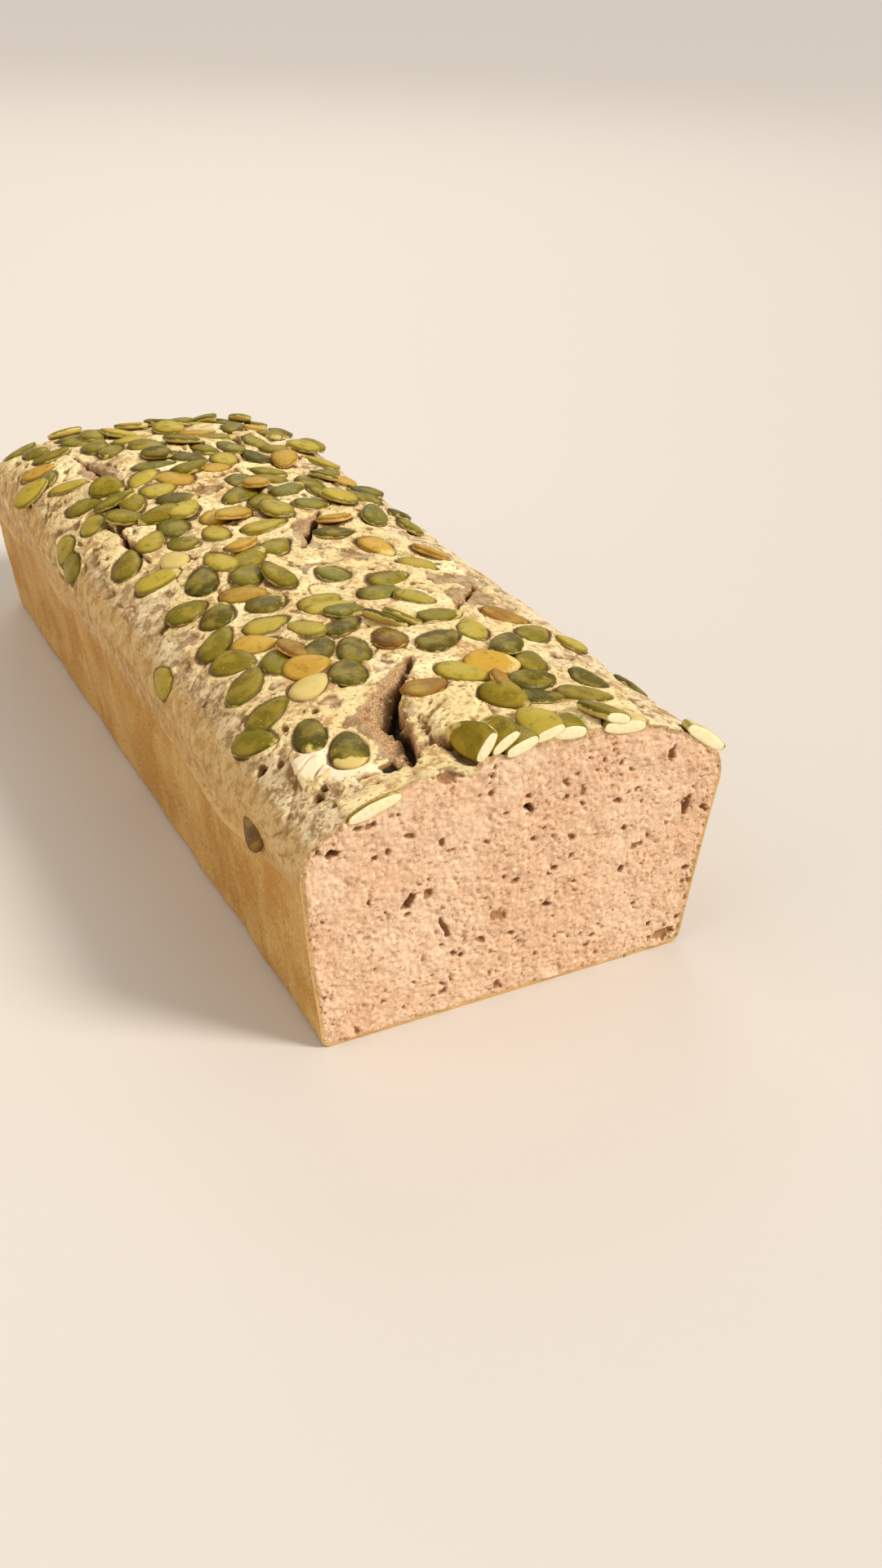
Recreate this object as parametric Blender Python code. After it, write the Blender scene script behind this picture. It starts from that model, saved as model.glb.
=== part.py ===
# Buckwheat tin loaf topped with pumpkin seeds, sliced at one end.
# Units are metres. The origin is under the middle of the loaf, +Z is up,
# the cut face looks along -Y, the baked end along +Y, and +X is to the
# right of someone who faces the cut.
import math
import random

import bmesh
import bpy
from mathutils import Matrix, Vector

MM = 0.001

# The tin: a long tapered loaf tin, 102 mm wide at the rim.
LOAF_LENGTH = 264 * MM
TOP_WIDTH = 102 * MM
BOTTOM_WIDTH = 92 * MM
WALL_HEIGHT = 43 * MM
FOOT_RADIUS = 3 * MM
CORNER_RADIUS = 17 * MM
END_LEAN = 5 * MM

# The crown, where the dough rose over the rim.
CROWN_HEIGHT = 62.5 * MM
CROWN_EXPONENT = 2.49
END_HEIGHT = 39 * MM
FALL_LENGTH = 70 * MM
FALL_EXPONENT = 2.4

# Slow waves over the crown: height, turns per metre along and across, phase.
LUMP_WAVES = (
    (0.40 * MM, 41, 60, 0.7),
    (0.32 * MM, 93, -47, 2.1),
    (0.18 * MM, 171, 133, 4.4),
)

# Broad swells and hollows: across, distance from the cut, radius and height,
# all in millimetres.
SWELLS = (
    (-6, 24, 14, 1.6),
    (-28, 17, 10, -1.3),
    (-22, 118, 17, 0.9),
    (12, 152, 15, 1.2),
    (-10, 205, 16, 1.0),
)

# How finely the loaf is drawn, and the angle in degrees past which it creases.
SHARP_ANGLE = 35
CROWN_STEPS = 18
WALL_STEPS = 3
FOOT_STEPS = 2
STRAIGHT_STEPS = 20
FALL_STEPS = 12
CAP_RINGS = 3
CAP_SHRINK = 0.72
SPARE_LENGTH = 8 * MM
FRAME_REACH = 0.45 * MM

# Cracks: waypoints as (across, distance from the cut), the width at the
# widest place, the depth, and how far the left bank slopes away.
CRACKS = (
    dict(way=((-22, 6), (-20, 17), (-18.5, 26), (-12, 36), (-4, 45)), width=5.0, depth=9.0, bank=4.0),
    dict(way=((-34, 9), (-27, 7.5), (-20, 11)), width=2.2, depth=3.5, bank=0.5),
    dict(way=((20, 67), (27, 76), (34, 85)), width=2.4, depth=4.5, bank=0.8),
    dict(way=((1, 117), (8, 128), (15, 138)), width=3.0, depth=5.0, bank=1.0),
    dict(way=((-36, 131), (-36.5, 146), (-38, 161)), width=2.2, depth=3.5, bank=0.6),
    dict(way=((-27, 178), (-28, 194), (-32, 214)), width=3.2, depth=4.5, bank=1.0),
    dict(way=((17, 199), (18, 211), (17, 224)), width=2.6, depth=4.5, bank=0.6),
)
CRACK_STEP = 5.0
CRACK_WANDER = 0.7
CRACK_TIP = 0.06
CRACK_TAPER = 0.7
CRACK_HEADROOM = 3 * MM
CRACK_SEED = 5

# Pumpkin seeds lie on the crown. Their sizes are in millimetres.
SEED_LENGTH = (11.2, 13.6)
SEED_WIDTH = (7.2, 8.6)
SEED_THICKNESS = 2.5
SEED_SIDES = 7
SEED_SHOULDER = 0.62
SEED_SHOULDER_RISE = 0.78
SEED_POINT = 0.28
SEED_LIFT = 0.25
SEED_TILT = 7.0
SCATTER_SEED = 11
SCATTER_TRIES = 6000
SCATTER_LIMIT = 176
SCATTER_GAP = 0.84
PILED_SHARE = 0.16
PILED_GAP = 0.58
PILED_LIFT = 1.5
PILED_TILT = 14.0
CRACK_MARGIN = 2.5

# Where seeds lie: full cover inside a share of the half width about a line
# a little left of the middle, then thinning out, and bare at the baked end.
SPREAD = 50.0
COVER_MIDDLE = -2.0
COVER_FULL = 0.62
COVER_FADE = 0.30
END_BARE = 3.0
END_FADE = 12.0

# Seeds near the cut, and further back the ones that stand or lie on others:
# across, distance from the cut, turn in degrees, lift, tilt along the seed
# and roll about its length.
PLACED_SEEDS = (
    (-34.9, 0.5, 0, 0.0, 0, 0),
    (-11.0, 4.0, 108, 2.3, 4, -58),
    (-5.0, 4.0, 82, 2.1, 0, -33),
    (-1.6, 2.0, 90, 0.7, 0, -18),
    (4.4, 4.0, 100, 2.4, 0, -14),
    (10.5, 1.5, 62, 1.3, 0, 7),
    (19.9, 4.0, 128, 2.3, 0, 17),
    (23.7, 0.5, 20, 0.3, 0, 0),
    (45.0, 0.5, 0, 0.6, 0, 0),
    (-30.9, 19.9, 70, 0.2, 0, 0),
    (-35.9, 28.5, 70, 0.2, 0, 0),
    (-45.1, 37.1, -45, 0.2, 0, 0),
    (-39.8, 42.0, 15, 0.2, 0, 0),
    (-28.6, 44.3, 30, 0.2, 0, 0),
    (-19.4, 45.0, 65, 0.5, 0, 6),
    (-8.8, 29.5, 20, 0.4, 6, 0),
    (-4.5, 18.9, 60, -0.5, 0, 0),
    (5.7, 20.2, -65, 0.6, 0, 30),
    (13.0, 18.6, -10, 0.4, 0, -8),
    (23.9, 17.2, -20, 0.4, 0, 0),
    (30.9, 26.8, 85, 0.1, 0, 0),
    (16.0, 25.8, 0, 0.9, 0, 14),
    (9.4, 26.5, 70, 0.7, 0, 30),
    (2.8, 33.4, -55, 0.5, 0, 12),
    (10.4, 34.4, -15, 1.3, 0, 24),
    (21.3, 35.7, 55, 0.5, 0, 10),
    (19.6, 43.7, 55, 1.6, 0, -10),
    (5.7, 50.9, 25, 0.3, 0, 0),
    (-26.0, 52.3, -5, 0.6, 0, 16),
    (-14.0, 54.2, 75, 0.4, 0, 0),
    (-4.8, 55.5, 80, 0.7, 5, 0),
    (-39.2, 55.5, 40, 0.2, 0, 0),
    (-30.5, 58.5, 80, 0.2, 0, 12),
    (-20.7, 58.2, 50, 0.4, 0, 0),
    (17.0, 55.5, 70, 0.4, 0, 0),
    (32.8, 53.6, 35, 0.2, 0, 0),
    (43.0, 51.5, 20, 0.0, 0, 0),
    (46.0, 30.0, 92, -0.1, 0, 0),
    (-50.0, 27.0, 60, -0.9, 0, 0),
    (-50.0, 83.0, 88, -0.7, 0, 0),
    (-50.0, 160.0, 95, -0.7, 0, 0),
    (-49.0, 169.0, 84, -0.5, 0, 0),
    (-25.4, 61.8, 100, 0.6, 0, 25),
    (-1.2, 64.1, -62, 1.2, 0, -38),
    (2.9, 63.6, -66, 1.2, 0, -38),
    (-7.3, 74.5, 25, 1.2, 6, 0),
    (-13.3, 100.0, 100, 1.5, -6, 8),
    (-14.4, 121.0, 32, 1.4, 0, -14),
    (16.5, 131.5, 15, 1.0, 0, -18),
    (32.5, 106.0, -62, 0.7, 0, -12),
)

# Seeds that lie flat along the middle: across, distance from the cut, turn.
LYING_SEEDS = (
    (-37.5, 78.0, 45), (-26.4, 77.2, 5), (-31.4, 69.8, -25), (-37.7, 66.6, -50),
    (-19.3, 69.8, 110), (-9.8, 83.2, 8), (-9.2, 79.4, -10), (6.0, 82.0, -8),
    (11.8, 88.6, 18), (12.6, 76.2, -45), (-11.2, 66.6, 30), (14.0, 65.6, 10),
    (30.4, 63.2, -15), (-33.2, 90.3, 60), (-38.3, 98.6, 5), (-21.6, 88.8, 28),
    (-24.2, 96.4, -35), (-19.2, 105.0, 60), (-30.3, 108.6, 60), (-38.6, 119.4, -20),
    (-23.0, 114.2, 100), (-15.4, 113.4, 38), (-6.3, 119.6, 48), (0.2, 97.4, 100),
    (24.6, 98.4, -68), (19.8, 111.6, -72), (12.2, 122.8, -20), (-4.2, 133.4, 2),
    (-12.7, 146.2, 55), (-24.8, 147.4, 85), (-26.4, 134.6, 100), (-41.2, 136.0, 60),
    (-16.8, 135.4, 80), (-32.0, 125.0, 90), (-17.6, 164.0, -12), (14.6, 143.0, 5),
    (-41.0, 166.5, 80), (-39.8, 179.0, -30), (-39.2, 196.0, -32), (-15.8, 189.0, -18),
)
DRAWN_FROM = 128.0

# Finishes, in the order of the material slots.
FINISHES = (
    ("baked_crust", (0.50, 0.34, 0.17), 0.85),
    ("buckwheat_crumb", (0.62, 0.40, 0.27), 0.90),
    ("pumpkin_seed", (0.23, 0.24, 0.04), 0.50),
)
CRUST, CRUMB, SEED = range(len(FINISHES))


def clear_scene():
    for thing in list(bpy.data.objects):
        bpy.data.objects.remove(thing, do_unlink=True)


def make_material(name, colour, roughness):
    material = bpy.data.materials.new(name)
    material.use_nodes = True
    shader = material.node_tree.nodes["Principled BSDF"]
    shader.inputs["Base Color"].default_value = (*colour, 1.0)
    shader.inputs["Roughness"].default_value = roughness
    shader.inputs["Metallic"].default_value = 0.0


# Form of the loaf. "along" is the distance from the cut face.

def end_fall(along):
    """Share by which the loaf has come down towards its baked end."""
    into = (along - (LOAF_LENGTH - FALL_LENGTH)) / FALL_LENGTH
    into = min(max(into, 0.0), 1.0)
    return 1.0 - (1.0 - into ** FALL_EXPONENT) ** (1.0 / FALL_EXPONENT)


def rim_height(along):
    return WALL_HEIGHT + (END_HEIGHT - WALL_HEIGHT) * end_fall(along)


def crown_height(along):
    return CROWN_HEIGHT + (END_HEIGHT - CROWN_HEIGHT) * end_fall(along)


def corner_inset(along):
    into = min(max(along - (LOAF_LENGTH - CORNER_RADIUS), 0.0), CORNER_RADIUS)
    return CORNER_RADIUS - math.sqrt(CORNER_RADIUS ** 2 - into ** 2)


def rim_half_width(along):
    return TOP_WIDTH / 2 - corner_inset(along)


def lump(across, along):
    """Slow unevenness of the baked crown."""
    height = sum(
        tall * math.sin(length * along + width * across + phase)
        for tall, length, width, phase in LUMP_WAVES
    )
    for x, y, radius, swell in SWELLS:
        far = math.hypot(across / MM - x, along / MM - y) / radius
        height += swell * MM * math.exp(-far * far)
    return height


def top_height(across, along):
    """Height of the crown's surface over a place inside the rim."""
    half = rim_half_width(along)
    side = min(abs(across) / half, 1.0)
    rise = (1.0 - side ** CROWN_EXPONENT) ** (1.0 / CROWN_EXPONENT)
    rim = rim_height(along)
    return rim + (crown_height(along) - rim + lump(across, along)) * rise


def end_shift(height, along):
    """The baked end leans out with the tin, so low points sit further in."""
    share = end_fall(along)
    return END_LEAN * share * max(0.0, 1.0 - height / END_HEIGHT)


def world_point(across, along, height):
    return Vector((across, along - LOAF_LENGTH / 2 - end_shift(height, along), height))


def crown_frame(across, along):
    """Point on the crown with its normal, both in world space."""
    inner = rim_half_width(along) - 2 * FRAME_REACH
    across = min(max(across, -inner), inner)
    along = min(along, LOAF_LENGTH - 2 * FRAME_REACH)

    def at(x, y):
        return world_point(x, y, top_height(x, y))

    slope_x = at(across + FRAME_REACH, along) - at(across - FRAME_REACH, along)
    slope_y = at(across, along + FRAME_REACH) - at(across, along - FRAME_REACH)
    return at(across, along), slope_x.cross(slope_y).normalized()


def stations():
    """Distances from the cut at which a section is drawn."""
    straight = LOAF_LENGTH - FALL_LENGTH
    step = (straight + SPARE_LENGTH) / STRAIGHT_STEPS
    marks = [step * i - SPARE_LENGTH for i in range(STRAIGHT_STEPS + 1)]
    for i in range(1, FALL_STEPS + 1):
        turn = math.sin(math.pi / 2 * i / FALL_STEPS) ** (2.0 / FALL_EXPONENT)
        marks.append(straight + FALL_LENGTH * turn)
    return marks


def section(along):
    """One closed outline across the loaf, as world points."""
    half = rim_half_width(along)
    foot = half - (TOP_WIDTH - BOTTOM_WIDTH) / 2
    rim = rim_height(along)
    right = []
    for i in range(FOOT_STEPS + 1):
        turn = math.pi / 2 * i / FOOT_STEPS
        right.append((foot - FOOT_RADIUS * (1 - math.sin(turn)), FOOT_RADIUS * (1 - math.cos(turn))))
    for i in range(1, WALL_STEPS + 1):
        share = i / WALL_STEPS
        right.append((foot + (half - foot) * share, FOOT_RADIUS + (rim - FOOT_RADIUS) * share))
    crown = []
    for i in range(1, CROWN_STEPS):
        turn = math.pi * i / CROWN_STEPS
        across = math.copysign(abs(math.cos(turn)) ** (2.0 / CROWN_EXPONENT), math.cos(turn)) * half
        crown.append((across, top_height(across, along)))
    left = [(-x, z) for x, z in reversed(right)]
    outline = [(0.0, 0.0)] + right + crown + left
    return [world_point(x, along, z) for x, z in outline]


def build_loaf():
    """Sections joined into a skin, with rings that shrink over the end."""
    rings = [section(along) for along in stations()]
    last = rings[-1]
    middle = sum(last, Vector()) / len(last)
    for step in range(1, CAP_RINGS):
        share = CAP_SHRINK ** (step * 2)
        rings.append([middle + (point - middle) * share for point in last])
    count = len(last)
    points = [point for ring in rings for point in ring]
    faces = []
    for row in range(len(rings) - 1):
        for i in range(count):
            j = (i + 1) % count
            a, b = row * count + i, row * count + j
            c, d = a + count, b + count
            faces.append((a, c, d))
            faces.append((a, d, b))
    points.append(middle)
    start = (len(rings) - 1) * count
    for i in range(count):
        faces.append((start + (i + 1) % count, start + i, len(points) - 1))
    faces.append(tuple(range(count)))
    return mesh_object("loaf", points, faces, CRUST)


def mesh_object(name, points, faces, slot):
    """A closed shape in one finish, with its faces pointing out."""
    mesh = bpy.data.meshes.new(name)
    mesh.from_pydata(points, [], faces)
    for finish, _, _ in FINISHES:
        mesh.materials.append(bpy.data.materials[finish])
    mesh.polygons.foreach_set("material_index", [slot] * len(faces))
    work = bmesh.new()
    work.from_mesh(mesh)
    bmesh.ops.recalc_face_normals(work, faces=work.faces)
    work.to_mesh(mesh)
    work.free()
    thing = bpy.data.objects.new(name, mesh)
    bpy.context.collection.objects.link(thing)
    return thing


# Cracks.

def crack_line(crack, draw):
    """The crack's middle line in steps, wandering a little from its waypoints."""
    way = [Vector(point) for point in crack["way"]]
    line = []
    for a, b in zip(way, way[1:]):
        steps = max(1, round((b - a).length / CRACK_STEP))
        for i in range(steps):
            line.append(a.lerp(b, i / steps))
    line.append(way[-1])
    for point in line[1:-1]:
        point.x += draw.uniform(-CRACK_WANDER, CRACK_WANDER)
        point.y += draw.uniform(-CRACK_WANDER, CRACK_WANDER)
    return line


def crack_lines():
    draw = random.Random(CRACK_SEED)
    return [crack_line(crack, draw) for crack in CRACKS]


def crack_cutter(index, crack, line):
    """A wedge along the crack, point down, that closes at both ends."""
    last = len(line) - 1
    points = []
    for i, place in enumerate(line):
        share = math.sin(math.pi * (CRACK_TIP + (1 - 2 * CRACK_TIP) * i / last)) ** CRACK_TAPER
        depth = crack["depth"] * share * MM
        half = crack["width"] * share / 2 * MM
        ahead = line[min(i + 1, last)] - line[max(i - 1, 0)]
        side = Vector((ahead.y, -ahead.x)).normalized()
        surface, normal = crown_frame(place.x * MM, place.y * MM)
        right = Vector((side.x, side.y, 0.0))
        right = (right - normal * right.dot(normal)).normalized()
        flare = (depth + CRACK_HEADROOM) / depth
        top = surface + normal * CRACK_HEADROOM
        points.append(surface - normal * depth)
        points.append(top + right * half * flare)
        points.append(top - right * (half + crack["bank"] * share * MM) * flare)
    faces = [(0, 2, 1), (last * 3, last * 3 + 1, last * 3 + 2)]
    for i in range(last):
        for a, b in ((0, 1), (1, 2), (2, 0)):
            near_a, near_b = i * 3 + a, i * 3 + b
            far_a, far_b = near_a + 3, near_b + 3
            faces.append((near_a, near_b, far_b))
            faces.append((near_a, far_b, far_a))
    return mesh_object(f"crack_cutter_{index}", points, faces, CRUMB)


def distance_to_line(place, line):
    best = math.inf
    for a, b in zip(line, line[1:]):
        run = b - a
        share = min(max((place - a).dot(run) / run.length_squared, 0.0), 1.0)
        best = min(best, (place - (a + run * share)).length)
    return best


# Seeds.

def cover(across, along):
    """How thickly seeds lie: full over the crown, thin on the shoulders."""
    side = abs(across - COVER_MIDDLE) * MM / (TOP_WIDTH / 2)
    sideways = 1.0 - max(0.0, side - COVER_FULL) / COVER_FADE
    endways = (LOAF_LENGTH / MM - along - END_BARE) / END_FADE
    return max(0.0, sideways) * min(1.0, max(0.0, endways))


def reach(seed, towards):
    """Distance from a seed's middle to its rim in a direction."""
    turn = math.radians(seed["turn"]) - towards
    a, b = seed["length"] / 2, seed["width"] / 2
    return a * b / math.hypot(b * math.cos(turn), a * math.sin(turn))


def has_room(seed, others, gap):
    for other in others:
        apart = Vector((other["x"] - seed["x"], other["y"] - seed["y"]))
        if apart.length > SEED_LENGTH[1]:
            continue
        towards = math.atan2(apart.y, apart.x)
        if apart.length < gap * (reach(seed, towards) + reach(other, towards)):
            return False
    return True


def sized_seed(draw, x, y, turn, lift, tilt, roll):
    return dict(
        x=x, y=y, turn=turn, lift=lift, tilt=tilt, roll=roll,
        length=draw.uniform(*SEED_LENGTH), width=draw.uniform(*SEED_WIDTH),
    )


def drawn_seed(draw):
    """A seed at a random place, one in a few of them lying on its neighbours."""
    piled = draw.random() < PILED_SHARE
    lean = PILED_TILT if piled else SEED_TILT
    return piled, sized_seed(
        draw,
        x=draw.uniform(-SPREAD, SPREAD),
        y=draw.uniform(DRAWN_FROM, LOAF_LENGTH / MM),
        turn=draw.uniform(0.0, 360.0),
        lift=SEED_LIFT + (PILED_LIFT if piled else 0.0),
        tilt=draw.uniform(-lean, lean),
        roll=draw.uniform(-lean, lean),
    )


def scatter_seeds(lines):
    """The placed seeds, then drawn ones wherever there is room."""
    draw = random.Random(SCATTER_SEED)
    seeds = [sized_seed(draw, *row) for row in PLACED_SEEDS]
    for row in LYING_SEEDS:
        tilt, roll = draw.uniform(-SEED_TILT, SEED_TILT), draw.uniform(-SEED_TILT, SEED_TILT)
        seeds.append(sized_seed(draw, *row, SEED_LIFT, tilt, roll))
    for _ in range(SCATTER_TRIES):
        if len(seeds) >= SCATTER_LIMIT:
            break
        piled, seed = drawn_seed(draw)
        if draw.random() > cover(seed["x"], seed["y"]):
            continue
        place = Vector((seed["x"], seed["y"]))
        clear = min(
            distance_to_line(place, line) - crack["width"] / 2
            for crack, line in zip(CRACKS, lines)
        )
        if clear < CRACK_MARGIN:
            continue
        if has_room(seed, seeds, PILED_GAP if piled else SCATTER_GAP):
            seeds.append(seed)
    return seeds


def seed_rim(seed, size, height):
    """Drop-shaped outline, blunt at one end and pointed at the other."""
    rim = []
    for i in range(SEED_SIDES):
        turn = 2 * math.pi * i / SEED_SIDES
        x = seed["length"] / 2 * math.cos(turn)
        y = seed["width"] / 2 * math.sin(turn) * (1.0 - SEED_POINT * math.cos(turn))
        rim.append(Vector((x * size, y * size, height)) * MM)
    return rim


def seed_place(seed):
    """Middle of a seed and the axes of its length, width and thickness."""
    surface, normal = crown_frame(seed["x"] * MM, seed["y"] * MM)
    turn = math.radians(seed["turn"])
    along = Vector((math.cos(turn), math.sin(turn), 0.0))
    along = (along - normal * along.dot(normal)).normalized()
    basis = Matrix((along, normal.cross(along), normal)).transposed()
    basis = basis @ Matrix.Rotation(math.radians(seed["tilt"]), 3, "Y")
    basis = basis @ Matrix.Rotation(math.radians(seed["roll"]), 3, "X")
    return surface + normal * seed["lift"] * MM, basis


def build_seed(index, seed):
    """A flat lens: a rim, a smaller shoulder above and a point below."""
    half = SEED_THICKNESS / 2
    points = seed_rim(seed, 1.0, 0.0)
    points += seed_rim(seed, SEED_SHOULDER, half * SEED_SHOULDER_RISE)
    points.append(Vector((0.0, 0.0, half)) * MM)
    points.append(Vector((0.0, 0.0, -half)) * MM)
    top, bottom = len(points) - 2, len(points) - 1
    faces = []
    for i in range(SEED_SIDES):
        j = (i + 1) % SEED_SIDES
        faces.append((i, j, j + SEED_SIDES))
        faces.append((i, j + SEED_SIDES, i + SEED_SIDES))
        faces.append((i + SEED_SIDES, j + SEED_SIDES, top))
        faces.append((j, i, bottom))
    middle, basis = seed_place(seed)
    placed = [middle + basis @ point for point in points]
    return mesh_object(f"seed_{index:03d}", placed, faces, SEED)


# Joining.

def gather(things, name):
    group = bpy.data.collections.new(name)
    bpy.context.scene.collection.children.link(group)
    for thing in things:
        for home in list(thing.users_collection):
            home.objects.unlink(thing)
        group.objects.link(thing)
    return group


def apply_boolean(body, operation, things):
    """Runs one Boolean of the body with all the things and removes them."""
    group = gather(things, f"{operation.lower()}_group")
    step = body.modifiers.new(operation.title(), "BOOLEAN")
    step.operation = operation
    step.operand_type = "COLLECTION"
    step.collection = group
    step.solver = "MANIFOLD"
    depsgraph = bpy.context.evaluated_depsgraph_get()
    result = bpy.data.meshes.new_from_object(body.evaluated_get(depsgraph))
    body.modifiers.remove(step)
    old = body.data
    body.data = result
    bpy.data.meshes.remove(old)
    for thing in things:
        bpy.data.objects.remove(thing, do_unlink=True)
    bpy.data.collections.remove(group)


def keep_largest_shell(body):
    """Fills sealed hollows and drops loose scraps by keeping the outer skin."""
    work = bmesh.new()
    work.from_mesh(body.data)
    waiting = set(work.faces)
    shells = []
    while waiting:
        shell = []
        front = [waiting.pop()]
        while front:
            face = front.pop()
            shell.append(face)
            near = {other for edge in face.edges for other in edge.link_faces} & waiting
            waiting -= near
            front.extend(near)
        shells.append(shell)
    shells.sort(key=len)
    spare = [face for shell in shells[:-1] for face in shell]
    bmesh.ops.delete(work, geom=spare, context="FACES")
    work.to_mesh(body.data)
    work.free()


def knife_block():
    """A block in front of the cut plane, larger than the loaf's section."""
    wide, cut = TOP_WIDTH, -LOAF_LENGTH / 2
    corners = [(x, y, z) for x in (-wide, wide) for y in (cut - wide, cut) for z in (-wide, wide)]
    faces = [(0, 1, 3, 2), (4, 6, 7, 5), (0, 4, 5, 1), (2, 3, 7, 6), (0, 2, 6, 4), (1, 5, 7, 3)]
    return mesh_object("knife_block", corners, faces, CRUMB)


def main():
    clear_scene()
    for finish in FINISHES:
        make_material(*finish)
    lines = crack_lines()
    loaf = build_loaf()
    cutters = [crack_cutter(i, *pair) for i, pair in enumerate(zip(CRACKS, lines))]
    apply_boolean(loaf, "DIFFERENCE", cutters)
    seeds = [build_seed(i, seed) for i, seed in enumerate(scatter_seeds(lines))]
    apply_boolean(loaf, "UNION", seeds)
    apply_boolean(loaf, "DIFFERENCE", [knife_block()])
    keep_largest_shell(loaf)
    loaf.data.shade_smooth()
    loaf.data.set_sharp_from_angle(angle=math.radians(SHARP_ANGLE))


main()
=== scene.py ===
import math
import random

import bmesh
import bpy
import numpy as np
from mathutils import Matrix, Vector


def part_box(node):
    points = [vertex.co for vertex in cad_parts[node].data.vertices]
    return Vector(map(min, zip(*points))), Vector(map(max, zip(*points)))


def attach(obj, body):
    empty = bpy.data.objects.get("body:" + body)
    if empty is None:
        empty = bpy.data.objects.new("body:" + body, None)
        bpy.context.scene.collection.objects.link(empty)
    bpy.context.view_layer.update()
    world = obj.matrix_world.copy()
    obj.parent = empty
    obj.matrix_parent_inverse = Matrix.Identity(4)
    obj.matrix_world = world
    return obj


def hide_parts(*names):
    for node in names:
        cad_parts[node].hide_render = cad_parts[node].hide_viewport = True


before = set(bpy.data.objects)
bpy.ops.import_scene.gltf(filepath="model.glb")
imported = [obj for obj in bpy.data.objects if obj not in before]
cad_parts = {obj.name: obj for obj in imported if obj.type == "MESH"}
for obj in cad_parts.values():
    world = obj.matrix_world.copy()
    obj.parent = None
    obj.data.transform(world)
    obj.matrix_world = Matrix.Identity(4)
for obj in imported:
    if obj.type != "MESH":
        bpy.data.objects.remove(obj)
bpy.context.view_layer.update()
mm = 0.001
loafLow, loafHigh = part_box("loaf")


# Small helpers

def newObject(name, data):
    made = bpy.data.objects.new(name, data)
    bpy.context.scene.collection.objects.link(made)
    return made


def linear(code):
    # "#rrggbb" as the renderer wants it
    parts = [int(code[i:i + 2], 16) / 255 for i in (1, 3, 5)]
    return [c / 12.92 if c <= 0.04045 else ((c + 0.055) / 1.055) ** 2.4 for c in parts] + [1.0]


def addNode(tree, kind, sockets=None, out=0, **settings):
    # one node with its settings and links; gives one of its outputs, or the node for out=None
    made = tree.nodes.new(kind)
    for name, value in settings.items():
        setattr(made, name, value)
    for socket, value in (sockets or {}).items():
        if isinstance(value, bpy.types.NodeSocket):
            tree.links.new(value, made.inputs[socket])
        else:
            made.inputs[socket].default_value = value
    return made if out is None else made.outputs[out]


def ease(low, high, value):
    # 0 below low, 1 above high, smooth between; low may be the larger one
    share = np.clip((value - low) / (high - low), 0, 1)
    return share * share * (3 - 2 * share)


def noise(points, size, seed):
    # smooth random values between about -1 and 1, one lump for each size
    draw = np.random.RandomState(seed)
    order = np.tile(draw.permutation(256), 2)
    slopes = draw.normal(size=(256, 3))
    slopes /= np.linalg.norm(slopes, axis=1)[:, None]
    place = np.asarray(points, float) / size
    cell = np.floor(place).astype(int)
    part = place - cell
    blend = part ** 3 * (part * (part * 6 - 15) + 10)
    total = np.zeros(place.shape[:-1])
    for corner in np.ndindex(2, 2, 2):
        at = (cell + corner) & 255
        pick = order[order[order[at[..., 0]] + at[..., 1]] + at[..., 2]]
        weight = np.where(np.array(corner) == 1, blend, 1 - blend).prod(-1)
        total += weight * ((part - corner) * slopes[pick]).sum(-1)
    return total * 1.6


def roughened(points, layers, start=0):
    # adds up noises, each with its amount, size in mm and seed
    for amount, size, seed in layers:
        start = start + amount * noise(points, size, seed)
    return start


def withBumps(height, x, y, bumps):
    # adds round swellings: across, along, radius, height
    for bumpX, bumpY, radius, tall in bumps:
        height = height + tall * np.exp(-((x - bumpX) ** 2 + (y - bumpY) ** 2) / radius ** 2)
    return height


def ovalReach(x, y, oval):
    # 0 at an oval's middle, 1 on its rim; an oval starts with across, along, half width, half length
    return np.hypot((x - oval[0]) / oval[2], (y - oval[1]) / oval[3])


def sheetNormals(points, first):
    # from the slopes along the sheet's two ways, the first one crossed with the other
    normals = np.cross(np.gradient(points, axis=first), np.gradient(points, axis=1 - first))
    return normals / np.maximum(np.linalg.norm(normals, axis=-1), 1e-9)[..., None]


def gridMesh(name, points, values, flip=False):
    # a sheet from rows and columns of points in mm, with its values at each point
    rows, columns = points.shape[:2]
    index = np.arange(rows * columns).reshape(rows, columns)
    corners = [index[:-1, :-1], index[:-1, 1:], index[1:, 1:], index[1:, :-1]]
    faces = np.stack(corners[::-1] if flip else corners, -1).reshape(-1, 4)
    mesh = bpy.data.meshes.new(name)
    mesh.from_pydata((points.reshape(-1, 3) * mm).tolist(), [], faces.tolist())
    for key, value in values.items():
        spread = np.broadcast_to(value, (rows, columns)).astype(np.float32)
        mesh.attributes.new(key, "FLOAT", "POINT").data.foreach_set("value", spread.ravel())
    mesh.shade_smooth()
    return newObject(name, mesh)


# Form of the loaf: a tapered tin below, a risen crown above

loaf = dict(
    length=round((loafHigh.y - loafLow.y) / mm),
    rimWidth=102, footWidth=92, wallHeight=43, footRadius=3, cornerRadius=17, endLean=5,
    crownHeight=62.5, crownPower=2.49, endHeight=39, fallLength=70, fallPower=2.4,
    # height, radians a metre along and across, phase
    waves=((0.40, 41, 60, 0.7), (0.32, 93, -47, 2.1), (0.18, 171, 133, 4.4)),
    # across, along, radius, height
    swells=((-6, 24, 14, 1.6), (-28, 17, 10, -1.3), (-22, 118, 17, 0.9),
            (12, 152, 15, 1.2), (-10, 205, 16, 1.0)),
    sway=0.55, swaySize=24, swaySeeds=(3, 4, 5), flatEnd=12, flatBase=10,
)
halfLength = loaf["length"] / 2


def endFall(along):
    into = np.clip((along - loaf["length"]) / loaf["fallLength"] + 1, 0, 1)
    return 1 - (1 - into ** loaf["fallPower"]) ** (1 / loaf["fallPower"])


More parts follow.
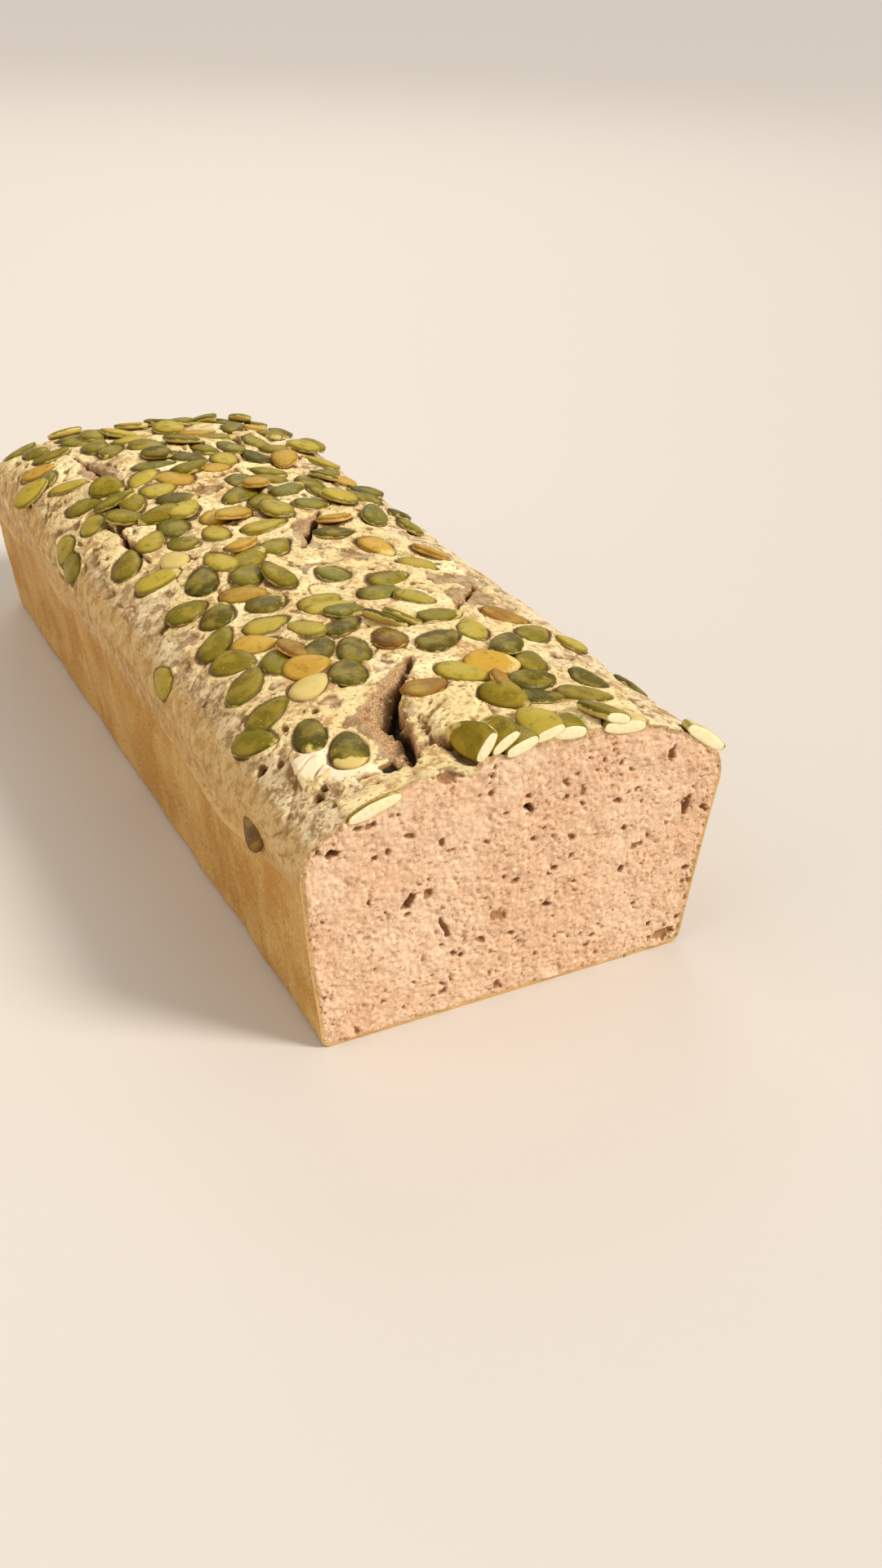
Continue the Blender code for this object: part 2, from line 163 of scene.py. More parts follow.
def rimHeight(along):
    return loaf["wallHeight"] + (loaf["endHeight"] - loaf["wallHeight"]) * endFall(along)


def rimHalf(along):
    radius = loaf["cornerRadius"]
    into = np.clip(along - (loaf["length"] - radius), 0, radius)
    return loaf["rimWidth"] / 2 - (radius - np.sqrt(radius ** 2 - into ** 2))


def lump(across, along):
    height = sum(
        tall * np.sin((length * along + width * across) * mm + phase)
        for tall, length, width, phase in loaf["waves"]
    )
    return withBumps(height, across, along, loaf["swells"])


def worldPoint(across, along, height):
    # the baked end leans out with the tin, so low points sit further in
    shift = loaf["endLean"] * endFall(along) * np.clip(1 - height / loaf["endHeight"], 0, None)
    return np.stack(np.broadcast_arrays(across, along - halfLength - shift, height), -1)


def crownPoint(across, along):
    side = np.clip(np.abs(across) / rimHalf(along), 0, 1)
    rise = (1 - side ** loaf["crownPower"]) ** (1 / loaf["crownPower"])
    rim = rimHeight(along)
    crown = loaf["crownHeight"] + (loaf["endHeight"] - loaf["crownHeight"]) * endFall(along)
    return worldPoint(across, along, rim + (crown - rim + lump(across, along)) * rise)


def crownFrame(across, along):
    # a point of the crown and its normal
    reach = 0.45
    inner = rimHalf(along) - 2 * reach
    across = min(max(across, -inner), inner)
    along = min(along, loaf["length"] - 2 * reach)
    slopeX = crownPoint(across + reach, along) - crownPoint(across - reach, along)
    slopeY = crownPoint(across, along + reach) - crownPoint(across, along - reach)
    return Vector(crownPoint(across, along)), Vector(np.cross(slopeX, slopeY)).normalized()


def sway(points):
    # the whole loaf leaves the tin a little out of true; cut and base stay flat
    ways = [noise(points, loaf["swaySize"], seed) for seed in loaf["swaySeeds"]]
    moved = np.stack(ways, -1) * loaf["sway"]
    moved[..., 1] *= ease(0, loaf["flatEnd"], points[..., 1] + halfLength)
    moved[..., 2] *= ease(0, loaf["flatBase"], points[..., 2])
    return points + moved


# Cracks: waypoints (across, along), width, depth and how far the left bank slopes; the right one is steep

cracks = dict(
    lines=(
        dict(way=((-22, 6), (-20, 17), (-18.5, 26), (-12, 36), (-4, 45)), width=5.0, depth=9.0, bank=4.0),
        dict(way=((-34, 9), (-27, 7.5), (-20, 11)), width=2.2, depth=3.5, bank=0.5),
        dict(way=((20, 67), (27, 76), (34, 85)), width=2.4, depth=4.5, bank=0.8),
        dict(way=((1, 117), (8, 128), (15, 138)), width=3.0, depth=5.0, bank=1.0),
        dict(way=((-36, 131), (-36.5, 146), (-38, 161)), width=2.2, depth=3.5, bank=0.6),
        dict(way=((-27, 178), (-28, 194), (-32, 214)), width=3.2, depth=4.5, bank=1.0),
        dict(way=((17, 199), (18, 211), (17, 224)), width=2.6, depth=4.5, bank=0.6),
        dict(way=((-24, 8.6), (-17.5, 10.0), (-12, 6.6)), width=2.8, depth=4.2, bank=0.2),
    ),
    step=5.0, wander=0.7, tip=0.06, taper=0.7, margin=2.5, seed=5,
    # the left bank narrows along the crack; the right one and the slit are shares of the width
    bankNarrows=0.65, rightShare=0.34, slitShare=0.17, leftPower=1.1, rightPower=2.5, raggedSlit=0.6,
    # what makes the banks ragged and the line waver: amount, size, seed
    ragged=((0.8, 4.0, 61), (0.4, 1.5, 62)), waver=((0.9, 3.6, 63), (0.35, 1.4, 64)),
)


def crackLines():
    draw = random.Random(cracks["seed"])
    lines = []
    for crack in cracks["lines"]:
        way = [Vector(point) for point in crack["way"]]
        line = []
        for a, b in zip(way, way[1:]):
            steps = max(1, round((b - a).length / cracks["step"]))
            line += [a.lerp(b, i / steps) for i in range(steps)]
        line.append(way[-1])
        for point in line[1:-1]:
            point.x += draw.uniform(-cracks["wander"], cracks["wander"])
            point.y += draw.uniform(-cracks["wander"], cracks["wander"])
        lines.append(line)
    return lines


def distanceToLine(place, line):
    best = math.inf
    for a, b in zip(line, line[1:]):
        run = b - a
        share = min(max((place - a).dot(run) / run.length_squared, 0), 1)
        best = min(best, (place - (a + run * share)).length)
    return best


# Pumpkin seeds: where each lies, how it leans, and the colour of its skin

seeds = dict(
    length=(11.2, 13.6), width=(7.2, 8.6), thickness=2.4, cutThickness=3.1,
    pointShare=0.23, tip=0.05, tipPower=5, flatTop=0.66,  # slimmer to one end, which is drawn out a little
    lift=0.25, tilt=7, drawSeed=11, tries=6000, limit=176, gap=0.84,
    piledShare=0.16, piledGap=0.58, piledLift=1.5, piledTilt=14, drawnFrom=128,
    # where drawn ones lie: thick round the middle line, thinning to the sides and the baked end
    spread=50, coverMiddle=-2, coverFull=0.62, coverFade=0.30, endBare=3, endFade=12,
    # facets of a seed at the cut, of one less than nearBelow behind it, and of one further back
    cutSides=44, cutRings=16, nearSides=24, nearRings=8, farSides=14, farRings=5, nearBelow=75,
    unevenness=0.6, unevenSize=6, kernelRaise=0.14, skinWidth=0.07, cutStep=0.22, cutProud=2.2,
    colourSeed=23, lightness=(0.82, 1.15), wearPower=4,
    # by number: two sank in, one slid down the side
    slipped={0: (0.3, 0.0, -1.2), 16: (0.3, -0.8, -0.7), 38: (-1.3, -3.0, -6.0)},
    # by number: how far the skin is off, and at which end
    worn={9: (1.0, -1), 10: (0.5, -1), 13: (0.0, 1)},
    shades=dict(
        dark="#544a03", green="#7a6d10", olive="#7d6c0c", lime="#ad9833", grey="#716b25",
        gold="#b68f33", toast="#956a27", brown="#6b4813", pale="#e0c97e", straw="#c4ac5e",
    ),
    drawnShades=["green"] * 6 + ["olive"] * 6 + ["grey"] * 4 + ["lime"] * 4 + ["dark"] * 3 + ["gold"] * 3,
)

# two to a line, numbered from 0: across, along, turn, lift, shade, and tilt and roll where there are any
placedSeeds = (
    (-34.9, 0.5, 0, 0.0, "green"), (-11.0, 4.0, 108, 2.3, "olive", 4, -58),
    (-5.0, 4.0, 82, 2.1, "olive", 0, -33), (-1.6, 2.0, 90, 0.7, "green", 0, -18),
    (4.4, 4.0, 100, 2.4, "lime", 0, -14), (10.5, 1.5, 62, 1.3, "green", 0, 7),
    (19.9, 4.0, 128, 2.3, "olive", 0, 17), (23.7, 0.5, 20, 0.3, "pale"),
    (45.0, 0.5, 0, 0.6, "pale"), (-30.9, 19.9, 70, 0.2, "dark"),
    (-35.9, 28.5, 70, 0.2, "dark"), (-45.1, 37.1, -45, 0.2, "green"),
    (-39.8, 42.0, 15, 0.2, "olive"), (-28.6, 44.3, 30, 0.2, "pale"),
    (-19.4, 45.0, 65, 0.5, "dark", 0, 6), (-8.8, 29.5, 20, 0.4, "toast", 6),
    (-4.5, 18.9, -22, -0.6, "straw"), (5.7, 20.2, -65, 0.6, "olive", 0, 30),
    (13.0, 18.6, -10, 0.4, "dark", 0, -8), (23.9, 17.2, -20, 0.4, "olive"),
    (30.9, 26.8, 85, 0.1, "dark"), (16.0, 25.8, 0, 0.9, "dark", 0, 14),
    (9.4, 26.5, 70, 0.7, "toast", 0, 30), (2.8, 33.4, -55, 0.5, "lime", 0, 12),
    (10.4, 34.4, -15, 1.3, "gold", 0, 24), (21.3, 35.7, 55, 0.5, "olive", 0, 10),
    (19.6, 43.7, 55, 1.6, "dark", 0, -10), (5.7, 50.9, 25, 0.3, "dark"),
    (-26.0, 52.3, -5, 0.6, "gold", 0, 16), (-14.0, 54.2, 75, 0.4, "dark"),
    (-4.8, 55.5, 80, 0.7, "brown", 5), (-39.2, 55.5, 40, 0.2, "olive"),
    (-30.5, 58.5, 80, 0.2, "green", 0, 12), (-20.7, 58.2, 50, 0.4, "dark"),
    (17.0, 55.5, 70, 0.4, "lime"), (32.8, 53.6, 35, 0.2, "green"),
    (43.0, 51.5, 20, 0.0, "lime"), (46.0, 30.0, 92, -0.1, "dark"),
    (-50.0, 27.0, 60, -0.9, "brown"), (-50.0, 83.0, 88, -0.7, "lime"),
    (-50.0, 160.0, 95, -0.7, "green"), (-49.0, 169.0, 84, -0.5, "lime"),
    (-25.4, 61.8, 100, 0.6, "toast", 0, 25), (-1.2, 64.1, -62, 1.2, "dark", 0, -38),
    (2.9, 63.6, -66, 1.2, "lime", 0, -38), (-7.3, 74.5, 25, 1.2, "grey", 6),
    (-13.3, 100.0, 100, 1.5, "olive", -6, 8), (-14.4, 121.0, 32, 1.4, "gold", 0, -14),
    (16.5, 131.5, 15, 1.0, "gold", 0, -18), (32.5, 106.0, -62, 0.7, "gold", 0, -12),
)
cutCount = 9  # the first ones lie in the knife's way

# seeds that lie flat: across, along, turn, shade
lyingSeeds = (
    (-37.5, 78.0, 45, "green"), (-26.4, 77.2, 5, "lime"), (-31.4, 69.8, -25, "gold"),
    (-37.7, 66.6, -50, "olive"), (-19.3, 69.8, 110, "lime"), (-9.8, 83.2, 8, "lime"),
    (-9.2, 79.4, -10, "lime"), (6.0, 82.0, -8, "grey"), (11.8, 88.6, 18, "olive"),
    (12.6, 76.2, -45, "lime"), (-11.2, 66.6, 30, "dark"), (14.0, 65.6, 10, "green"),
    (30.4, 63.2, -15, "toast"), (-33.2, 90.3, 60, "dark"), (-38.3, 98.6, 5, "green"),
    (-21.6, 88.8, 28, "dark"), (-24.2, 96.4, -35, "gold"), (-19.2, 105.0, 60, "green"),
    (-30.3, 108.6, 60, "dark"), (-38.6, 119.4, -20, "lime"), (-23.0, 114.2, 100, "lime"),
    (-15.4, 113.4, 38, "olive"), (-6.3, 119.6, 48, "green"), (0.2, 97.4, 100, "grey"),
    (24.6, 98.4, -68, "lime"), (19.8, 111.6, -72, "gold"), (12.2, 122.8, -20, "dark"),
    (-4.2, 133.4, 2, "lime"), (-12.7, 146.2, 55, "gold"), (-24.8, 147.4, 85, "grey"),
    (-26.4, 134.6, 100, "green"), (-41.2, 136.0, 60, "olive"), (-16.8, 135.4, 80, "lime"),
    (-32.0, 125.0, 90, "pale"), (-17.6, 164.0, -12, "dark"), (14.6, 143.0, 5, "grey"),
    (-41.0, 166.5, 80, "lime"), (-39.8, 179.0, -30, "green"), (-39.2, 196.0, -32, "lime"),
    (-15.8, 189.0, -18, "grey"),
)


def seedCover(across, along):
    side = abs(across - seeds["coverMiddle"]) / (loaf["rimWidth"] / 2)
    sideways = 1 - max(0, side - seeds["coverFull"]) / seeds["coverFade"]
    endways = (loaf["length"] - along - seeds["endBare"]) / seeds["endFade"]
    return max(0, sideways) * min(1, max(0, endways))


def seedReach(seed, towards):
    turn = math.radians(seed["turn"]) - towards
    a, b = seed["length"] / 2, seed["width"] / 2
    return a * b / math.hypot(b * math.cos(turn), a * math.sin(turn))


def hasRoom(seed, others, gap):
    for other in others:
        apart = Vector((other["x"] - seed["x"], other["y"] - seed["y"]))
        if apart.length > seeds["length"][1]:
            continue
        towards = math.atan2(apart.y, apart.x)
        if apart.length < gap * (seedReach(seed, towards) + seedReach(other, towards)):
            return False
    return True


def sizedSeed(draw, x, y, turn, lift, shade, tilt=0, roll=0):
    return dict(
        x=x, y=y, turn=turn, lift=lift, tilt=tilt, roll=roll, shade=shade,
        length=draw.uniform(*seeds["length"]), width=draw.uniform(*seeds["width"]),
    )


def scatterSeeds(lines):
    # the placed seeds, then drawn ones wherever there is room
    draw = random.Random(seeds["drawSeed"])
    found = [sizedSeed(draw, *row) for row in placedSeeds]
    for x, y, turn, shade in lyingSeeds:
        tilt, roll = (draw.uniform(-seeds["tilt"], seeds["tilt"]) for _ in range(2))
        found.append(sizedSeed(draw, x, y, turn, seeds["lift"], shade, tilt, roll))
    for _ in range(seeds["tries"]):
        if len(found) >= seeds["limit"]:
            break
        piled = draw.random() < seeds["piledShare"]
        lean = seeds["piledTilt"] if piled else seeds["tilt"]
        seed = sizedSeed(
            draw, draw.uniform(-seeds["spread"], seeds["spread"]),
            draw.uniform(seeds["drawnFrom"], loaf["length"]), draw.uniform(0, 360),
            seeds["lift"] + (seeds["piledLift"] if piled else 0), None,
            draw.uniform(-lean, lean), draw.uniform(-lean, lean),
        )
        if draw.random() > seedCover(seed["x"], seed["y"]):
            continue
        place = Vector((seed["x"], seed["y"]))
        clear = min(
            distanceToLine(place, line) - crack["width"] / 2
            for crack, line in zip(cracks["lines"], lines)
        )
        gap = seeds["piledGap" if piled else "gap"]
        if clear >= cracks["margin"] and hasRoom(seed, found, gap):
            found.append(seed)
    return found


def layDown(found):
    # each seed's middle and its axes on the swayed crown, a shade for the drawn ones, and its wear
    draw, worn = random.Random(seeds["colourSeed"]), random.Random(seeds["colourSeed"])
    for number, seed in enumerate(found):
        seed["number"] = number
        surface, normal = crownFrame(seed["x"], seed["y"])
        turn = math.radians(seed["turn"])
        along = Vector((math.cos(turn), math.sin(turn), 0))
        along = (along - normal * along.dot(normal)).normalized()
        basis = Matrix((along, normal.cross(along), normal)).transposed()
        basis = basis @ Matrix.Rotation(math.radians(seed["tilt"]), 3, "Y")
        basis = basis @ Matrix.Rotation(math.radians(seed["roll"]), 3, "X")
        middle = surface + normal * seed["lift"]
        seed["basis"] = basis
        seed["middle"] = Vector(sway(np.array(middle)[None])[0])
        if number in seeds["slipped"]:
            seed["middle"] += Vector(seeds["slipped"][number])
        seed["shade"] = seed["shade"] or draw.choice(seeds["drawnShades"])
        seed["light"] = draw.uniform(*seeds["lightness"])
        seed["wear"], seed["end"] = seeds["worn"].get(number, (worn.random() ** seeds["wearPower"], 1))
    return found


# Crown: the baked top, with cracks, a cream skin of batter round the seeds and torn patches

crown = dict(
    columns=300, frontRows=330, backRows=330, split=90, measureSteps=(6001, 4001),
    stillRim=0.045, stillEnd=2.5,  # where the relief fades out: a share of the width, and mm at the end
    # the cream skin: full and none as shares of the half width, and how its middle drifts further back
    skinHeight=0.6, skinFull=0.58, skinNone=0.84, skinMiddle=-4, skinDrift=(-8, 90, 190),
    # round each seed: a cream halo, how far below its plane the batter stays, and a painted shade line
    # along its rim
    haloReach=11, halo=(0.9, 3.0), piledHalo=0.55, below=0.30, belowLying=-0.15, deepest=-1.2, rise=0.9,
    seamShade=0.60, tornSkin=0.8, fleckDepth=0.8, brokenDepth=0.5, crinkleDepth=0.12, crinkleWidth=0.12,
    foldSize=8, foldWidth=0.08, foldDepth=0.45, foldSeed=53, ringRaise=0.22, ringDip=0.25,
    # size, height on crust, height on batter
    relief=((12, 0.55, 0.95), (5.0, 0.30, 0.36), (2.0, 0.12, 0.07), (1.0, 0.06, 0.02)), reliefSeed=40,
    # noises that are added up, each with amount, size and seed
    rough=dict(
        batter=((0.9, 3.5, 71), (0.4, 1.2, 72)), skin=((0.20, 9, 32),), gaps=((1, 7, 33), (0.5, 2.5, 34)),
        halo=((0.15, 6, 45),), skinEdge=((0.30, 2.0, 36), (0.20, 0.9, 37)),
        flecks=((1, 1.2, 38), (0.6, 0.7, 39)), broken=((1, 1.7, 42), (0.7, 0.8, 43)),
        folded=((1, 16, 54),), crinkles=((1, 1.9, 48),),
        slabs=((0.14, 6, 49), (0.05, 1.8, 50)), holes=((0.35, 1.3, 47),),
    ),
    ovalSeeds=dict(bare=35, torn=44, floury=46),
    # ovals with across, along, half width, half length
    bare=((-26, 22, 4, 9), (-5, 147, 8, 6), (5, 126, 5, 10), (-30, 195, 5, 14),
          (-9, 167, 6, 4), (-19, 213, 7, 5), (-15, 78, 4, 3), (28, 76, 7, 6), (30, 88, 9, 5),
          (20, 150, 7, 9), (2, 178, 5, 7), (22, 186, 8, 6), (-3, 222, 8, 4),
          (-2, 103, 5, 4), (12, 108, 5, 6)),
    torn=((-13.5, 14, 3.2, 7), (-9.5, 9, 3.5, 3), (-3, 27, 3, 3)),
    floury=((-38, 19, 4.5, 4.5), (-35, 13.0, 3.5, 2.6), (-31, 10.5, 3.0, 1.6)),
    crinkled=((-41, 8, 12, 11), (-33, 4, 6, 4), (-48, 14, 4, 10)),
    # across, along, radius, depth
    holes=((33, 42, 1.2, 3.2), (34, 15, 1.1, 3.0), (35.5, 12.5, 0.8, 2.4), (-39, 35, 0.6, 1.6),
           (-47, 29, 1.0, 2.2), (-44, 26, 0.7, 1.8), (-42, 10.2, 0.9, 2.6), (-40, 11.5, 0.6, 2.0),
           (-26.6, 9.4, 1.9, 3.4), (-28, 120, 1.0, 2.6), (27, 138, 1.5, 3.0), (21, 161, 1.3, 2.6),
           (-36, 157, 1.2, 2.4), (32, 194, 1.4, 2.6), (-23, 40, 0.9, 2.4), (2.4, 46.4, 0.6, 1.6),
           (-44, 98, 1.2, 2.4), (-31.5, 35.5, 0.7, 1.5), (-43.5, 46, 0.8, 1.5)),
    # across, along, half width, half length, height, sharpness: flakes of batter that rose as one piece
    slabs=((-18.4, 1.5, 6.0, 6.0, 0.7, 0.03), (-8.5, 12, 7.0, 8.5, 1.2, 0.05),
           (-9, 22, 6.5, 12, 0.8, 0.06), (-35, 19, 8, 10.5, 0.9, 0.05),
           (5, 24, 16, 10, 0.3, 0.1), (-20, 52, 16, 9, 0.5, 0.08), (14, 60, 16, 12, 0.5, 0.08),
           (-24, 84, 13, 12, 0.6, 0.08), (14, 96, 14, 12, 0.7, 0.07), (-20, 112, 13, 12, 0.6, 0.08),
           (24, 122, 10, 10, 0.7, 0.07), (-22, 146, 12, 12, 0.7, 0.07), (6, 158, 13, 9, 0.6, 0.08),
           (-12, 182, 14, 10, 0.7, 0.08), (10, 204, 12, 12, 0.7, 0.08)),
    # across, along, radius, height
    mounds=((-34.6, 0, 5.5, 0.7), (-8, 6, 6, 1.1), (3, 6, 6, 1.0), (17, 6, 7, 0.9)),
    # burst bubbles with a raised rim: across, along, radius
    rings=((-46.5, 8.5, 1.3), (-44.6, 6.2, 0.9), (-48.0, 12.0, 1.0), (-45.4, 11.0, 0.7)),
    bubbles=190, bubbleSize=(0.25, 0.70), bubbleDepth=1.2, bubbleSpread=50, seed=31,
)


def alongMarks():
    # distances from the cut of the crown's rows: fine ones in front, coarser ones behind
    fine = np.linspace(crown["split"], loaf["length"], crown["measureSteps"][0])
    line = crownPoint(np.zeros_like(fine), fine)
    run = np.concatenate([[0], np.cumsum(np.linalg.norm(np.diff(line, axis=0), axis=1))])
    back = np.interp(np.linspace(0, run[-1], crown["backRows"]), run, fine)
    return np.concatenate([np.linspace(0, crown["split"], crown["frontRows"])[:-1], back])


def acrossShares(count):
    # places across, as shares of the half width, evenly spaced round the crown
    turn = np.linspace(0, math.pi, crown["measureSteps"][1])
    power = 2 / loaf["crownPower"]
    share = -np.sign(np.cos(turn)) * np.abs(np.cos(turn)) ** power
    x = share * loaf["rimWidth"] / 2
    z = (loaf["crownHeight"] - loaf["wallHeight"]) * np.sin(turn) ** power
    run = np.concatenate([[0], np.cumsum(np.hypot(np.diff(x), np.diff(z)))])
    return np.interp(np.linspace(0, run[-1], count), run, share)


def crackCut(x, y, points, lines):
    # depth of the cracks: a sloping bank on the left, an upright wall on the right, a gap between, which
    # the finish paints dark as shade
    cut, inside, gap = np.zeros_like(x), np.zeros_like(x), np.zeros_like(x)
    ragged = roughened(points, cracks["ragged"])
    x = roughened(points, cracks["waver"], x)
    for crack, line in zip(cracks["lines"], lines):
        last = len(line) - 1
        best = np.full_like(x, 1e9)
        right = np.zeros_like(x)
        place = np.zeros_like(x)
        for i, (a, b) in enumerate(zip(line, line[1:])):
            run = b - a
            share = np.clip(((x - a.x) * run.x + (y - a.y) * run.y) / run.length_squared, 0, 1)
            offX, offY = x - a.x - run.x * share, y - a.y - run.y * share
            far = np.hypot(offX, offY)
            nearer = far < best
            best = np.where(nearer, far, best)
            right = np.where(nearer, offX * run.y - offY * run.x, right)
            place = np.where(nearer, (i + share) / last, place)
        swell = np.sin(math.pi * (cracks["tip"] + (1 - 2 * cracks["tip"]) * place)) ** cracks["taper"]
        bankWidth = crack["width"] / 2 + crack["bank"] * (1 - cracks["bankNarrows"] * place)
        reach = np.where(right < 0, bankWidth, crack["width"] * cracks["rightShare"]) * swell
        close = np.maximum(best + ragged * (best < reach * 2), 0) / np.maximum(reach, 0.3)
        bank = np.clip(1 - close ** np.where(right < 0, cracks["leftPower"], cracks["rightPower"]), 0, 1)
        narrow = np.maximum(crack["width"] * cracks["slitShare"] * swell, 0.25)
        slit = ease(2.1, 0.7, np.abs(best + cracks["raggedSlit"] * ragged * (best < 3)) / narrow)
        cut = np.maximum(cut, crack["depth"] * swell * (0.5 * bank + 0.5 * slit))
        inside = np.maximum(inside, ease(1.3, 0.9, close))
        gap = np.maximum(gap, slit * swell)
    return cut, inside, gap


def batterRoundSeeds(x, y, points, normals, found):
    # a pale halo, the height that the batter may reach, and painted shade: a dark line at the seeds' rims
    halo, seamShade = np.zeros_like(x), np.zeros_like(x)
    top = np.full_like(x, 99.0)
    blur = roughened(points, crown["rough"]["batter"])
    for seed in found:
        near = np.hypot(x - seed["x"], y - seed["y"]) < crown["haloReach"]
        if seed["number"] in seeds["slipped"] or not near.any():
            continue
        basis = np.array(seed["basis"])
        away = points[near] - np.array(seed["middle"])
        local = away @ basis
        u = local[:, 0] / (seed["length"] / 2)
        v = local[:, 1] / (seed["width"] / 2) / np.clip(1 - seeds["pointShare"] * u, 0.5, 2)
        ring = np.hypot(u, v)
        off = (ring - 1) * np.hypot(local[:, 0], local[:, 1]) / np.maximum(ring, 0.05)
        plane = -(away @ basis[:, 2]) / np.maximum(normals[near] @ basis[:, 2], 0.3)
        lying = seed["lift"] < 1
        plane = np.maximum(plane - crown["belowLying" if lying else "below"], crown["deepest"])
        full, none = crown["halo"]
        pale = (1 if lying else crown["piledHalo"]) * ease(none, full, off + blur[near])
        halo[near] = np.maximum(halo[near], pale)
        rise = np.where(off > 0, crown["rise"] * off, 0.5 * np.maximum(off, -1.5)) + 0.25 * blur[near]
        top[near] = np.where(off < 2.5, np.minimum(top[near], plane + rise), top[near])
        # painted shade along the rim, where the seed meets the batter
        dark = ease(crown["seamShade"], 0.1, off + 0.4 * blur[near]) * (plane < 2)
        seamShade[near] = np.maximum(seamShade[near], dark)
    return halo, top, seamShade


def softened(values, size):
    # a plain blur over the sheet, in rows and columns
    for _ in range(2):
        total = np.cumsum(np.concatenate([values[:size], values, values[-size:]]), 0)
        values = ((total[2 * size:] - total[:-2 * size]) / (2 * size)).T
    return values


def inOvals(x, y, points, kind):
    # 1 inside any of the kind's ragged ovals, 0 outside
    found = np.zeros_like(x)
    seed = crown["ovalSeeds"][kind]
    for oval in crown[kind]:
        near = (np.abs(x - oval[0]) < 2 * oval[2]) & (np.abs(y - oval[1]) < 2 * oval[3])
        ragged = roughened(points[near], ((0.30, 2.6, seed), (0.15, 1.0, seed + 1)))
        inner = ease(1.15, 0.85, ovalReach(x[near], y[near], oval) + ragged)
        found[near] = np.maximum(found[near], inner)
    return found


def makeCrown(lines, found):
    shares, marks = acrossShares(crown["columns"]), alongMarks()
    y = np.repeat(marks[:, None], len(shares), 1)
    x = shares[None, :] * rimHalf(y)
    points = crownPoint(x, y)
    normals = sheetNormals(points, 1)
    rough = crown["rough"]
    rim = ease(1, 1 - crown["stillRim"], np.abs(shares))[None, :]
    border = np.minimum(rim, ease(loaf["length"], loaf["length"] - crown["stillEnd"], y))

    halo, top, seamShade = batterRoundSeeds(x, y, points, normals, found)
    cut, inside, gap = crackCut(x, y, points, lines)
    drift, nearest, furthest = crown["skinDrift"]
    side = np.abs(x - crown["skinMiddle"] - drift * ease(nearest, furthest, y)) / (loaf["rimWidth"] / 2)
    skin = ease(crown["skinNone"], crown["skinFull"], roughened(points, rough["skin"], side))
    skin *= ease(-0.62, -0.22, roughened(points, rough["gaps"]))
    bare = inOvals(x, y, points, "bare")
    skin *= 1 - bare
    skin = np.maximum(skin, 0.85 * halo * ease(0.92, 0.76, roughened(points, rough["halo"], side)))
    skin = ease(0.34, 0.66, skin + roughened(points, rough["skinEdge"])) * (1 - inside)

    torn = inOvals(x, y, points, "torn")
    flecks = torn * ease(0.12, 0.42, roughened(points, rough["flecks"]))
    skin = np.maximum(skin, crown["tornSkin"] * torn) * (1 - 0.7 * flecks)
    floury = inOvals(x, y, points, "floury")
    skin = np.maximum(skin, floury * (1 - inside))
    crinkled = np.zeros_like(x)
    for oval in crown["crinkled"]:
        crinkled = np.maximum(crinkled, ease(1.2, 0.6, ovalReach(x, y, oval)))
    crinkled *= (1 - skin) * (1 - inside)
    bare *= (1 - skin) * (1 - inside)

    height = crown["skinHeight"] * skin
    for size, onCrust, onBatter in crown["relief"]:
        height += noise(points, size, crown["reliefSeed"]) * (onCrust + (onBatter - onCrust) * skin)
    fold = ease(crown["foldWidth"], 0, np.abs(noise(points, crown["foldSize"], crown["foldSeed"])))
    folded = ease(-0.1, 0.3, roughened(points, rough["folded"]))
    height -= crown["foldDepth"] * fold * folded * (1 - inside)
    height += crown["brokenDepth"] * inside * roughened(points, rough["broken"])
    crinkle = ease(crown["crinkleWidth"], 0, np.abs(roughened(points, rough["crinkles"])))
    height += crown["crinkleDepth"] * crinkled * crinkle - crown["fleckDepth"] * flecks
    height = withBumps(height, x, y, crown["mounds"])
    for *oval, tall, sharp in crown["slabs"]:
        off = roughened(points, rough["slabs"], ovalReach(x, y, oval))
        height += tall * ease(1 + sharp, 1 - 2 * sharp, off) * (1 - inside)
    for ringX, ringY, radius in crown["rings"]:
        off = np.hypot(x - ringX, y - ringY) / radius
        raised = crown["ringRaise"] * np.exp(-((off - 1) / 0.28) ** 2)
        height += raised - crown["ringDip"] * ease(0.8, 0.4, off)

    pits = np.zeros_like(x)
    draw = random.Random(crown["seed"])
    holes = list(crown["holes"])
    for _ in range(crown["bubbles"]):
        radius = draw.uniform(*crown["bubbleSize"])
        bubbleX = draw.uniform(-crown["bubbleSpread"], crown["bubbleSpread"])
        bubbleY = draw.uniform(0, loaf["length"] - 6)
        holes.append((bubbleX, bubbleY, radius, radius * crown["bubbleDepth"]))
    jagged = roughened(points, rough["holes"])
    for holeX, holeY, radius, deep in holes:
        near = (np.abs(x - holeX) < 3 * radius) & (np.abs(y - holeY) < 3 * radius)
        off = np.hypot(x[near] - holeX, (y[near] - holeY) * 0.8) / radius + jagged[near]
        pits[near] = np.maximum(pits[near], deep * np.exp(-np.maximum(off, 0) ** 3))
    height -= pits * (1 - halo * (pits < 1.5))
    height -= cut
    # painted shade: hollowShade is how far a point lies below its blurred neighbours, and in the pits; the
    # finish darkens it
    hollowShade = np.clip((softened(height, 7) - height) / 0.7, -1, 1) + ease(0.3, 1.2, pits)
    height = np.minimum(height, top) * border
    # painted shade: deep marks the crack gaps and the deepest pits, which the finish paints near black
    deep = np.maximum(gap, ease(1.0, 2.2, pits))
    lowSide = ease(0.90, 0.99, np.abs(x) / rimHalf(y))

    moved = sway(points) + normals * height[..., None]
    moved[0, :, 1] = -halfLength
    values = dict(skin=skin, inside=inside, hollowShade=hollowShade, deep=deep, floury=floury, crinkled=crinkled,
                  seamShade=seamShade, lowSide=lowSide, bare=bare)
    split = crown["frontRows"]
    front, back = (
        gridMesh(name, moved[rows], {key: value[rows] for key, value in values.items()})
        for name, rows in (("crown_front", slice(split)), ("crown_back", slice(split - 1, None))))
    return front, back, moved[0]


# Sides: the crust that baked against the tin, round both walls, the end and the base

